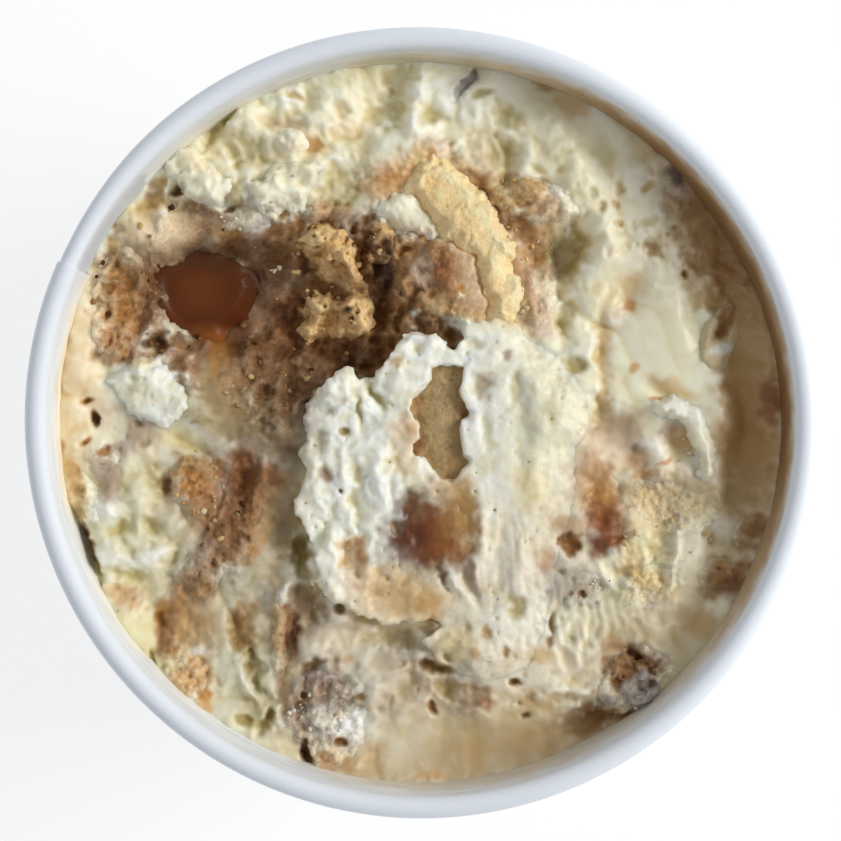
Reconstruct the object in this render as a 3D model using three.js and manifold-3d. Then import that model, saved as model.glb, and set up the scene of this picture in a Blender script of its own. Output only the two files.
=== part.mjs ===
// A tub of date pudding: a rolled-rim paper tub filled with cream, in which date sponge,
// soft sponge fingers, dates, a pool of date syrup and cake crumbs lie.
// Millimetres, +Z up, origin on the axis at the foot of the tub.
import * as THREE from 'three';
import { mergeVertices } from 'three/addons/utils/BufferGeometryUtils.js';
import Module from 'manifold-3d';

const wasm = await Module();
wasm.setup();

// ---- Driving dimensions -------------------------------------------------------------
const GAP = 0.3;                    // clearance between neighbouring pieces
const DEG = Math.PI / 180;

const TUB = {
  height: 60,                       // foot to the top of the rolled rim
  rimR: 48,                         // outside of the rolled rim
  footR: 39,                        // outside of the wall at the foot
  paper: 0.5,                       // board thickness
  curlR: 1.35,                      // outer radius of the rolled rim's section
  curlEnd: -90 * DEG,               // where the roll stops, seen in section
  curlSteps: 6,
  baseZ: 6.6,                       // top face of the recessed base
  skirt: 4.8,                       // height of the base's turned-down skirt
  hemLeg: 4.2,                      // height of the wall's turned-in leg
  segments: 48,
};
const LAP = { at: 156 * DEG, spread: 12 * DEG, step: 0.4 };   // side seam of the wall

const CREAM = {
  edge: 52.6,                       // level of the cream where it meets the wall
  rings: 12,                        // rings of facets over its top
};

// ---- Tub wall: where its inner skin is at a height ------------------------------------
const curlCentre = { r: TUB.rimR - TUB.curlR, z: TUB.height - TUB.curlR };
const openingR = curlCentre.r - TUB.curlR;
const taper = (openingR - (TUB.footR - TUB.paper)) / curlCentre.z;
const innerR = (z) => openingR - taper * (curlCentre.z - z);

// ---- Relief of the cream bed ------------------------------------------------------------
// Each swell is an oval mound, or a hollow where its rise is negative.
const SWELLS = [
  { x: -21, y: 15, long: 17, wide: 13, turn: 0, rise: -4.6 },     // broad hollow with the syrup
  { x: -10, y: 10, long: 11, wide: 11, turn: 0, rise: -2.2 },     // its deep side by the scoop
  { x: -19, y: 33, long: 13, wide: 8, turn: 25, rise: 1.3 },      // bank above the hollow
  { x: 17, y: 31, long: 17, wide: 8, turn: -30, rise: 0.9 },      // bank at the top right
  { x: 31, y: 8, long: 12, wide: 7, turn: 80, rise: 0.8 },        // smooth swell on the right
  { x: 14, y: 18, long: 5, wide: 10, turn: 0, rise: -1.8 },       // dip beside the sponge finger
  { x: -36, y: -12, long: 9, wide: 7, turn: 60, rise: 0.9 },      // bank at the lower left
  { x: -26, y: -16, long: 14, wide: 4, turn: 58, rise: -1.6 },    // trough of the soaked streak
  { x: -20, y: -28, long: 9, wide: 7, turn: 70, rise: 0.8 },
  { x: 30, y: -16, long: 11, wide: 8, turn: 0, rise: -0.6 },
  { x: 8, y: -38, long: 16, wide: 5, turn: 0, rise: -1.4 },       // smooth low part at the bottom
  { x: 2, y: -8, long: 17, wide: 21, turn: 0, rise: 0.4 },        // swell that carries the scoop
];

function ovalReach(x, y, oval) {
  const c = Math.cos(oval.turn * DEG);
  const s = Math.sin(oval.turn * DEG);
  const u = ((x - oval.x) * c + (y - oval.y) * s) / oval.long;
  const v = ((y - oval.y) * c - (x - oval.x) * s) / oval.wide;
  return u * u + v * v;
}

// Low waves that run through each other, so that no two places are alike.
function ripple(x, y, seed, wave) {
  const a = Math.sin((x + 0.6 * y) / wave + seed * 1.7);
  const b = Math.sin((y - 0.45 * x) / (0.8 * wave) + seed * 2.9);
  const c = Math.sin((x - 1.3 * y) / (1.35 * wave) - seed * 0.8);
  return (a * b + 0.6 * c) / 1.6;
}

function creamTop(x, y) {
  let z = CREAM.edge + 0.45 * ripple(x, y, 1, 2.6);
  for (const swell of SWELLS) {
    z += swell.rise * Math.exp(-1.3 * ovalReach(x, y, swell) ** 1.3);
  }
  return z;
}

// ---- Solids from an outline, a top and an underside ----------------------------------------
function meshSolid(positions, triangles) {
  return new wasm.Manifold(new wasm.Mesh({
    numProp: 3,
    vertProperties: new Float32Array(positions),
    triVerts: new Uint32Array(triangles),
  }));
}

function solidOfGeometry(geometry) {
  const bare = geometry.clone();
  bare.deleteAttribute('normal');
  bare.deleteAttribute('uv');
  const merged = mergeVertices(bare, 1e-4);
  return meshSolid(merged.attributes.position.array, merged.index.array);
}

function geometryOfSolid(solid) {
  const mesh = solid.getMesh();
  const geometry = new THREE.BufferGeometry();
  geometry.setAttribute('position', new THREE.BufferAttribute(new Float32Array(mesh.vertProperties), 3));
  geometry.setIndex(new THREE.BufferAttribute(new Uint32Array(mesh.triVerts), 1));
  geometry.computeVertexNormals();
  return geometry;
}

// Outline of a piece at an angle: an oval with lobes, bent along its length.
function outlineAt(piece, angle, share, grow) {
  const lobe = 1
    + piece.lobe * Math.sin(3 * angle + piece.seed)
    + 0.7 * piece.lobe * Math.sin(5 * angle + 2.3 * piece.seed);
  const u = share * (piece.long / 2 * lobe + grow) * Math.cos(angle);
  const v = share * (piece.wide / 2 * lobe + grow) * Math.sin(angle);
  const bent = v + piece.bend * (0.25 - (u / piece.long) ** 2) * 4 - piece.bend * 0.5;
  const c = Math.cos(piece.turn * DEG);
  const s = Math.sin(piece.turn * DEG);
  return [piece.x + u * c - bent * s, piece.y + u * s + bent * c];
}

// Height of a piece's top: it follows the bed, stands proud of it and rounds off to its rim.
function pieceTop(piece, x, y, share) {
  const bulge = (1 - Math.min(share, 1) ** piece.crown) ** (1 / piece.crown);
  const rough = piece.rough * ripple(x, y, piece.seed, piece.wave) * Math.min(1, 2 * bulge);
  return creamTop(x, y) + piece.rise * bulge - piece.tuck * (1 - bulge) + rough;
}

// A closed solid of rings round the piece's middle; `grow` makes the larger copy that cuts
// its seat, with its top lifted clear so that the seat is open above.
function pieceSolid(piece, grow, openAbove) {
  const around = piece.around;
  const positions = [];
  const triangles = [];
  const ring = (share, level) => {
    const first = positions.length / 3;
    for (let i = 0; i < around; i += 1) {
      const angle = (2 * Math.PI * i) / around;
      const [x, y] = outlineAt(piece, angle, share, grow);
      positions.push(x, y, level(x, y, share));
    }
    return first;
  };
  const join = (inner, outer) => {
    for (let i = 0; i < around; i += 1) {
      const j = (i + 1) % around;
      triangles.push(inner + i, outer + i, outer + j);
      triangles.push(inner + i, outer + j, inner + j);
    }
  };
  const cap = (first, level, up) => {
    const centre = positions.length / 3;
    const [x, y] = outlineAt(piece, 0, 0, 0);
    positions.push(x, y, level(x, y, 0));
    for (let i = 0; i < around; i += 1) {
      const j = (i + 1) % around;
      triangles.push(...(up ? [centre, first + i, first + j] : [centre, first + j, first + i]));
    }
  };
  const under = (x, y) => creamTop(x, y) - piece.deep - grow;
  const top = openAbove ? () => TUB.height + 5 : (x, y, share) => pieceTop(piece, x, y, share);
  const tops = (openAbove ? [1] : piece.shares).map((share) => ring(share, top));
  const foot = ring(1, under);
  cap(tops[0], top, true);
  for (let k = 1; k < tops.length; k += 1) {
    join(tops[k - 1], tops[k]);
  }
  join(tops[tops.length - 1], foot);
  cap(foot, under, false);
  return meshSolid(positions, triangles);
}

// Largest body of a solid: what is left over as a sliver beside a cut falls away.
function mainBody(solid) {
  return solid.decompose().reduce((a, b) => (a.volume() >= b.volume() ? a : b));
}

// ---- Cream bed ----------------------------------------------------------------------------
function creamBlock() {
  const n = CREAM.rings;
  const floor = TUB.baseZ + GAP;
  const positions = [];
  const triangles = [];
  const ringStart = [0];
  positions.push(0, 0, creamTop(0, 0));
  for (let i = 1; i <= n; i += 1) {
    ringStart.push(positions.length / 3);
    for (let j = 0; j < 6 * i; j += 1) {
      const angle = (2 * Math.PI * j) / (6 * i);
      const r = ((innerR(CREAM.edge) - GAP) * i) / n;
      const x = r * Math.cos(angle);
      const y = r * Math.sin(angle);
      const z = creamTop(x, y);
      const fit = i === n ? (innerR(z) - GAP) / r : 1;
      positions.push(x * fit, y * fit, z);
    }
  }
  const at = (i, j) => (i === 0 ? 0 : ringStart[i] + (j % (6 * i)));
  for (let i = 1; i <= n; i += 1) {
    for (let side = 0; side < 6; side += 1) {
      for (let j = 0; j < i; j += 1) {
        const outer = side * i + j;
        const inner = side * (i - 1) + j;
        triangles.push(at(i, outer), at(i, outer + 1), at(i - 1, inner));
        if (j < i - 1) {
          triangles.push(at(i, outer + 1), at(i - 1, inner + 1), at(i - 1, inner));
        }
      }
    }
  }
  const foot = positions.length / 3;
  const edgeCount = 6 * n;
  for (let j = 0; j < edgeCount; j += 1) {
    const angle = (2 * Math.PI * j) / edgeCount;
    const r = innerR(floor) - GAP;
    positions.push(r * Math.cos(angle), r * Math.sin(angle), floor);
  }
  positions.push(0, 0, floor);
  for (let j = 0; j < edgeCount; j += 1) {
    const k = (j + 1) % edgeCount;
    triangles.push(at(n, j), foot + j, foot + k);
    triangles.push(at(n, j), foot + k, at(n, j + 1));
    triangles.push(foot + edgeCount, foot + k, foot + j);
  }
  return meshSolid(positions, triangles);
}

// ---- What lies in the cream ------------------------------------------------------------------
// x, y: middle; long, wide, turn: its oval, turned in degrees; bend: sideways bow of its length;
// rise: how far it stands proud of the bed; deep: how far it reaches down into it.
const SHAPE = {
  lobe: 0.06, bend: 0, crown: 2.6, tuck: 0.7, rough: 0.25, wave: 1.3, around: 10,
  shares: [0.5, 0.84, 1], seed: 1,
};
const COARSE = { around: 8, shares: [0.7, 1] };
const FINISH = {
  paper: { color: 0xeef1f5, roughness: 0.6 },
  cream: { color: 0xf1ecd0, roughness: 0.45 },
  sponge: { color: 0xd9b26a, roughness: 0.9 },
  dateSponge: { color: 0x9a7450, roughness: 0.9 },
  golden: { color: 0xb98b4a, roughness: 0.9 },
  date: { color: 0x7d4526, roughness: 0.4 },
  syrup: { color: 0x5c301f, roughness: 0.12 },
  soaked: { color: 0xa3653a, roughness: 0.6 },
  nut: { color: 0xb7a084, roughness: 0.6 },
};

// The first pieces keep their whole shape; a later one is cut where an earlier one lies.
const PIECES = [
  { name: 'sponge_window', finish: 'sponge', x: 2.5, y: 0, long: 13.2, wide: 7.6, turn: 84, rise: -0.6, deep: 6, lobe: 0.05, seed: 2 },
  { name: 'date_scoop', finish: 'date', x: 1.2, y: -14.4, long: 10.5, wide: 9.2, turn: 60, rise: 1.7, deep: 4, lobe: 0.09, seed: 5 },
  { name: 'peach_bit', finish: 'soaked', x: -8.3, y: -15.8, long: 2.6, wide: 1.8, turn: 80, rise: 1.0, deep: 2.5, seed: 3, ...COARSE },
  { name: 'cream_scoop', finish: 'cream', x: 2, y: -9, long: 44.5, wide: 35.5, turn: 92, rise: 1.9, deep: 4.5, tuck: 0.6,
    lobe: 0.035, crown: 3, rough: 0.45, wave: 1.6, around: 32, shares: [0.3, 0.6, 0.86, 1], seed: 4.1 },
  { name: 'sponge_finger', finish: 'sponge', x: 6.9, y: 22.4, long: 22, wide: 7.4, turn: 116, bend: -2.6, rise: 2.6, deep: 4,
    lobe: 0.02, crown: 3.4, rough: 0.1, around: 18, seed: 1 },
  { name: 'cream_dab', finish: 'cream', x: -1, y: 25.6, long: 5, wide: 4.6, turn: 30, rise: 2.4, deep: 2, lobe: 0.1, seed: 6 },
  { name: 'sponge_torn_upper', finish: 'soaked', x: 14.2, y: 27.3, long: 11, wide: 5, turn: -14, rise: 1.5, deep: 3, seed: 7 },
  { name: 'sponge_torn_side', finish: 'soaked', x: 14.8, y: 17, long: 11.5, wide: 4.4, turn: 84, rise: 1.2, deep: 3, seed: 8 },
  { name: 'date_sponge_mid', finish: 'soaked', x: 2.9, y: 17.6, long: 12.4, wide: 7.6, turn: 108, rise: 2.6, deep: 4, rough: 0.5, seed: 9 },
  { name: 'crumb_golden_upper', finish: 'golden', x: -11.3, y: 21.7, long: 8.4, wide: 5.4, turn: -12, rise: 2.6, deep: 2.2, rough: 0.5, lobe: 0.1, seed: 10 },
  { name: 'crumb_golden_lower', finish: 'golden', x: -10.8, y: 13.6, long: 9, wide: 6.4, turn: 24, rise: 2.9, deep: 2.2, rough: 0.5, lobe: 0.1, seed: 11 },
  { name: 'crumb_golden_side', finish: 'golden', x: -4.6, y: 21.6, long: 5, wide: 3.6, turn: 60, rise: 2.4, deep: 2, rough: 0.4, lobe: 0.1, seed: 12, ...COARSE },
  { name: 'syrup_pool', finish: 'syrup', x: -26.8, y: 16, long: 13, wide: 11.6, turn: -35, rise: 0.9, deep: 3, rough: 0, crown: 5, tuck: 0.2, lobe: 0.05, seed: 13, around: 16 },
  { name: 'date_sponge_hollow', finish: 'dateSponge', x: -12.6, y: 13, long: 25, wide: 20.5, turn: 98, rise: 1.3, deep: 4.5, tuck: 0.6,
    rough: 0.8, wave: 1.1, lobe: 0.06, around: 20, shares: [0.4, 0.8, 1], seed: 14 },
  { name: 'date_sponge_left', finish: 'dateSponge', x: -37, y: 14.6, long: 13.6, wide: 8, turn: 86, rise: 1.6, deep: 4, rough: 0.6, wave: 1, seed: 15, around: 12 },
  { name: 'date_sponge_rim', finish: 'dateSponge', x: -25.6, y: 25.4, long: 10, wide: 4, turn: 8, rise: 1.1, deep: 2.5, rough: 0.4, seed: 16, ...COARSE },
  { name: 'cream_lump_left', finish: 'cream', x: -33.8, y: 3.6, long: 11.4, wide: 8.6, turn: -28, rise: 2.5, deep: 2.5, rough: 0.4, lobe: 0.09, seed: 17, around: 12 },
  { name: 'cream_lump_top', finish: 'cream', x: -28.4, y: 30.4, long: 8.6, wide: 7.2, turn: 40, rise: 2.1, deep: 2.5, rough: 0.4, lobe: 0.09, seed: 18 },
  { name: 'cream_lump_mid', finish: 'cream', x: -16.4, y: 29, long: 9, wide: 5.8, turn: -10, rise: 1.6, deep: 2.5, rough: 0.4, lobe: 0.09, seed: 19 },
  { name: 'sugar_lump', finish: 'nut', x: -15.9, y: 34.8, long: 4, wide: 2.8, turn: -20, rise: 1.1, deep: 1.8, seed: 20, ...COARSE },
  { name: 'cream_fold_right', finish: 'cream', x: 32.6, y: -2.6, long: 9, wide: 6.4, turn: -60, rise: 1.9, deep: 2.5, rough: 0.3, seed: 21 },
  { name: 'date_right', finish: 'date', x: 22.7, y: -11.6, long: 10.2, wide: 5.2, turn: 84, rise: 0.9, deep: 3, lobe: 0.08, seed: 22 },
  { name: 'date_skin_top', finish: 'date', x: 5.2, y: 41.8, long: 4.8, wide: 2, turn: 52, rise: 0.9, deep: 2, seed: 23, ...COARSE },
  { name: 'date_bit_wall', finish: 'date', x: 31.6, y: 29.2, long: 3, wide: 1.9, turn: -30, rise: 0.8, deep: 1.8, seed: 24, ...COARSE },
  { name: 'nut_curl', finish: 'nut', x: 37.2, y: 10.6, long: 8.4, wide: 4.6, turn: 70, bend: 0.8, rise: 1.9, deep: 2.2, rough: 0.3, seed: 25 },
  { name: 'sponge_right_upper', finish: 'sponge', x: 31.2, y: -10.4, long: 11, wide: 6.4, turn: -16, rise: 1.0, deep: 3, seed: 26 },
  { name: 'sponge_right_lower', finish: 'sponge', x: 27.9, y: -20.2, long: 8, wide: 5.2, turn: 20, rise: 1.1, deep: 3, seed: 27 },
  { name: 'crumb_grey_right', finish: 'nut', x: 20.6, y: -20.6, long: 6, wide: 3.6, turn: 10, rise: 1.3, deep: 2.5, rough: 0.5, seed: 28, ...COARSE },
  { name: 'date_sponge_lower_right', finish: 'dateSponge', x: 26.4, y: -32, long: 10.4, wide: 7.6, turn: 42, rise: 1.3, deep: 3.5, rough: 0.6, lobe: 0.08, seed: 29 },
  { name: 'date_sponge_bottom', finish: 'dateSponge', x: -11.6, y: -36.6, long: 12, wide: 9.6, turn: 98, rise: 1.2, deep: 4, rough: 0.6, lobe: 0.08, seed: 30, around: 12 },
  { name: 'soaked_patch_upper', finish: 'soaked', x: 40.1, y: -13.6, long: 3.8, wide: 3, turn: 60, rise: 0.7, deep: 2, seed: 31, ...COARSE },
  { name: 'soaked_patch_lower', finish: 'soaked', x: 36.9, y: -18.8, long: 5.2, wide: 3.6, turn: 30, rise: 0.7, deep: 2, seed: 32, ...COARSE },
  { name: 'date_left', finish: 'date', x: -21.2, y: -6.4, long: 6, wide: 4.4, turn: 50, rise: 1.5, deep: 3, seed: 33 },
  { name: 'soaked_streak', finish: 'soaked', x: -27.4, y: -18.4, long: 22, wide: 3.2, turn: 62, bend: 1.6, rise: 1.5, deep: 3, rough: 0.3, seed: 34, around: 18, lobe: 0.03 },
  { name: 'sponge_left_mid', finish: 'golden', x: -28.2, y: -7.6, long: 8, wide: 6, turn: 80, rise: 1.3, deep: 3, seed: 35 },
  { name: 'sponge_wall_low', finish: 'soaked', x: -29.2, y: -30.6, long: 8, wide: 4.4, turn: -62, rise: 1.2, deep: 3, seed: 36 },
  { name: 'streak_low', finish: 'dateSponge', x: -17.2, y: -26, long: 11.6, wide: 2.6, turn: 86, rise: 1.2, deep: 2.5, seed: 37, around: 12, lobe: 0.03 },
  { name: 'crumb_left_small', finish: 'dateSponge', x: -39, y: -4.4, long: 3.6, wide: 3, turn: 10, rise: 1.1, deep: 2, rough: 0.4, seed: 38, ...COARSE },
  { name: 'crumb_wall_left', finish: 'golden', x: -41, y: -9.6, long: 6.4, wide: 2.2, turn: 104, rise: 1.1, deep: 2, rough: 0.3, seed: 39, ...COARSE },
].map((piece) => ({ ...SHAPE, ...piece }));

// ---- Paper tub -----------------------------------------------------------------------------
function revolve(profile, segments) {
  const points = profile.map(([r, z]) => new THREE.Vector2(r, z));
  points.push(points[0].clone());
  const geometry = new THREE.LatheGeometry(points, segments);
  geometry.rotateX(Math.PI / 2);                        // the lathe turns about Y; the tub stands on Z
  return geometry;
}

// The wall's section: hem turned in at the foot, straight taper, rim rolled outwards.
function wallProfile() {
  const { paper, curlR, curlSteps, curlEnd, hemLeg } = TUB;
  const legOut = innerR(0) - GAP - paper - GAP;
  const legIn = legOut - paper;
  const section = [
    [TUB.footR, 0],
    [curlCentre.r - curlR + paper, curlCentre.z],
  ];
  const sweep = (radius, k) => {
    const angle = Math.PI + ((curlEnd - Math.PI) * k) / curlSteps;
    return [curlCentre.r + radius * Math.cos(angle), curlCentre.z + radius * Math.sin(angle)];
  };
  for (let k = 1; k <= curlSteps; k += 1) {
    section.push(sweep(curlR - paper, k));
  }
  for (let k = curlSteps; k >= 0; k -= 1) {
    section.push(sweep(curlR, k));
  }
  section.push([innerR(paper), paper]);
  section.push([legOut + taper * paper, paper]);
  section.push([legOut + taper * hemLeg, hemLeg]);
  section.push([legIn + taper * hemLeg, hemLeg]);
  section.push([legIn, 0]);
  return section;
}

// The side seam: the board laps over itself, so its outside steps out over a short arc.
function lapSeam(geometry) {
  const at = geometry.attributes.position;
  for (let i = 0; i < at.count; i += 1) {
    const x = at.getX(i);
    const y = at.getY(i);
    const z = at.getZ(i);
    const r = Math.hypot(x, y);
    const turn = Math.atan2(y, x) - LAP.at;
    const outside = r > innerR(z) + TUB.paper / 2;
    if (outside && turn > 0 && turn < LAP.spread && z < curlCentre.z - TUB.curlR) {
      at.setX(i, (x * (r + LAP.step)) / r);
      at.setY(i, (y * (r + LAP.step)) / r);
    }
  }
  return geometry;
}

function baseProfile() {
  const { paper, baseZ, skirt } = TUB;
  const low = baseZ - skirt;
  const skirtR = (z) => innerR(z) - GAP;
  return [
    [0, baseZ - paper],
    [skirtR(baseZ - paper) - paper, baseZ - paper],
    [skirtR(low) - paper, low],
    [skirtR(low), low],
    [skirtR(baseZ), baseZ],
    [0, baseZ],
  ];
}

// ---- Put together --------------------------------------------------------------------------
const group = new THREE.Group();

function addPart(name, geometry, finish) {
  const material = new THREE.MeshStandardMaterial({ ...FINISH[finish], metalness: 0 });
  const mesh = new THREE.Mesh(geometry, material);
  mesh.name = name;
  group.add(mesh);
}

const wall = solidOfGeometry(lapSeam(revolve(wallProfile(), TUB.segments)));
addPart('tub_wall', geometryOfSolid(wall), 'paper');
addPart('tub_base', geometryOfSolid(solidOfGeometry(revolve(baseProfile(), TUB.segments))), 'paper');

// The room inside the wall, less the clearance: nothing in the tub reaches out of it.
const room = solidOfGeometry(revolve([
  [0, TUB.baseZ + GAP],
  [innerR(TUB.baseZ + GAP) - GAP, TUB.baseZ + GAP],
  [innerR(TUB.height) - GAP, TUB.height],
  [0, TUB.height],
], 2 * TUB.segments));

let bed = creamBlock();
const seats = [];
for (const piece of PIECES) {
  let solid = pieceSolid(piece, 0, false).intersect(room);
  for (const seat of seats) {
    solid = solid.subtract(seat);
  }
  const seat = pieceSolid(piece, GAP, true);
  bed = bed.subtract(seat);
  seats.push(seat);
  addPart(piece.name, geometryOfSolid(mainBody(solid)), piece.finish);
}
addPart('cream_bed', geometryOfSolid(mainBody(bed)), 'cream');

export default group;
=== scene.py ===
"""A round paper tub of date pudding, dressed around its CAD frame.

The tub holds whipped cream in which date sponge, sponge fingers, dates, a pool of date
syrup and cake crumbs lie. Every size is in millimetres and is turned into metres where a
mesh is made. Heights and places come from the CAD frame; the maps of the food's surface
(its height, its colour, how crumbly and how wet it is) are laid out below.
"""

import logging
import math
from contextlib import contextmanager
from dataclasses import dataclass
from enum import Enum
from itertools import product
from typing import Callable, Iterator, Optional, Sequence

import bpy
import numpy as np
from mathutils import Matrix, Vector


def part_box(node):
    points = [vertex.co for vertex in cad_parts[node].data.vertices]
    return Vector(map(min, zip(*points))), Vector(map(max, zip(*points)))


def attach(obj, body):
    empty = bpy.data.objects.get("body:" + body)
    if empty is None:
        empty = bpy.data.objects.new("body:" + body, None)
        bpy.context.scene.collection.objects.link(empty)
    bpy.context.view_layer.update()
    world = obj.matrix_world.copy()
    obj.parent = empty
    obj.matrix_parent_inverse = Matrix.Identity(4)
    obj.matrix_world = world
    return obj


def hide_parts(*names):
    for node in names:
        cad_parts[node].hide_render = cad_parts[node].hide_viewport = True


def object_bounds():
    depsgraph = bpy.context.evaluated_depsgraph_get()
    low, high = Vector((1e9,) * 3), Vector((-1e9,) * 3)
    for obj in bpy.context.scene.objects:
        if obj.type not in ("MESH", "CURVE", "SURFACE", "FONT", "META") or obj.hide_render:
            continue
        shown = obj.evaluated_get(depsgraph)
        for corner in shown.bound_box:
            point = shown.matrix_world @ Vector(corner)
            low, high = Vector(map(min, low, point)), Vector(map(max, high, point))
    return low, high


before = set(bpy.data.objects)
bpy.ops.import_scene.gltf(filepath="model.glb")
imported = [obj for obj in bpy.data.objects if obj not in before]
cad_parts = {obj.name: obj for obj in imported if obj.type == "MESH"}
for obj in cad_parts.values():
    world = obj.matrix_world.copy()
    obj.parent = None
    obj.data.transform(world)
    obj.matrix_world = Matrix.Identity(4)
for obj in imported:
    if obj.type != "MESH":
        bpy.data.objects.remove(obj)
CAD_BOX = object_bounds()

LOG = logging.getLogger("date_pudding")
MM = 0.001
Array = np.ndarray
Piece = bpy.types.Object
Outline = Sequence[tuple[float, float]]

# The tub: radii of its rim and foot, radius of the roll's section, thickness of the board, in mm.
RIM, FOOT, ROLL, BOARD = 48.0, 39.0, 1.35, 0.5
LAP_AT, LAP = 168.0, 12.0                        # the strip's outer end from +X, and its overlap
SETTLE_BY = 26.0                                 # degrees in which the layers join again
LAYER = BOARD + 0.06                             # from one layer of the lap to the next
PRESS = 0.2                                      # how far food presses into the wall
DOUBLED = 0.02                                   # corners nearer than this are one
TOP = CAD_BOX[1].z / MM


def wall_at(level: Array) -> Array:
    """Returns the inner radius of the tub's wall at a level, in mm."""
    opening, centre = RIM - 2 * ROLL, TOP - ROLL
    return opening - (opening - FOOT + BOARD) / centre * (centre - level)


def reach_at(x: Array, y: Array, level: Array) -> Array:
    """Returns how far out food may go: just into the wall, which lies further out past its lap."""
    turned = (LAP_AT - LAP - np.degrees(np.arctan2(y, x))) % 360
    return wall_at(level) + PRESS + LAYER * (1 - ease(0.0, SETTLE_BY, turned))


def kept_in(points: Array) -> Array:
    """Draws corners beyond the wall's inner face back into the tub.

    Args:
        points: The corners, in mm.

    Returns:
        The corners, none of them beyond the wall.
    """
    x, y, level = points.T
    share = np.minimum(1.0, reach_at(x, y, level) / np.maximum(np.hypot(x, y), 1.0))
    return np.stack([x * share, y * share, level], axis=1)


# ---- Colours


class Hue(Enum):
    """The colours of the food and the paper, as red, green and blue from 0 to 255."""

    CREAM = (248, 243, 219)
    PALE = (246, 248, 238)
    WHITE = (244, 240, 230)
    BUTTER = (247, 236, 192)
    PEACH = (247, 227, 190)
    LIME = (229, 225, 194)
    ASH = (222, 216, 195)
    BLUSH = (234, 214, 186)
    MOSS = (204, 194, 150)
    OLIVE = (176, 160, 100)
    KHAKI = (150, 130, 78)
    BEIGE = (212, 194, 154)
    TAN = (204, 172, 120)
    ROSE = (208, 171, 131)
    PEAR = (224, 187, 138)
    ORANGE = (204, 148, 76)
    GOLD = (206, 166, 108)
    STRAW = (224, 192, 134)
    SPONGE = (253, 216, 160)
    CAKE = (251, 227, 180)
    # The sponge finger's colour darkened: painted shade for the finger seen down the scoop's window.
    RUSK = (160, 131, 86)
    FAWN = (164, 123, 77)
    BROWN = (126, 89, 52)
    COCOA = (80, 50, 28)
    # Near-black brown: painted shadow in the gaps between crumbs.
    SOOT = (44, 26, 12)
    RUST = (144, 84, 38)
    WINE = (86, 42, 20)
    CARAMEL = (94, 46, 22)
    TAUPE = (172, 142, 112)
    MAUVE = (186, 164, 144)
    STONE = (172, 160, 150)
    SHADE = (118, 90, 62)
    PAPER = (236, 242, 250)

    def light(self) -> Array:
        """Returns the colour in linear light."""
        share = np.array(self.value, float) / 255.0
        return np.where(share < 0.04045, share / 12.92, ((share + 0.055) / 1.055) ** 2.4)


# ---- Noise


def ease(low: float, high: float, value: Array) -> Array:
    """Returns a share that rises smoothly from 0 where a value is low to 1 where it is high."""
    share = np.clip((value - low) / (high - low), 0.0, 1.0)
    return share * share * (3.0 - 2.0 * share)


def soft_least(one: Array, other: Array, width: float) -> Array:
    """Returns the lesser of two fields, rounded over a width where they cross."""
    share = np.clip(0.5 + 0.5 * (other - one) / width, 0.0, 1.0)
    return other + (one - other) * share - width * share * (1.0 - share)


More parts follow.
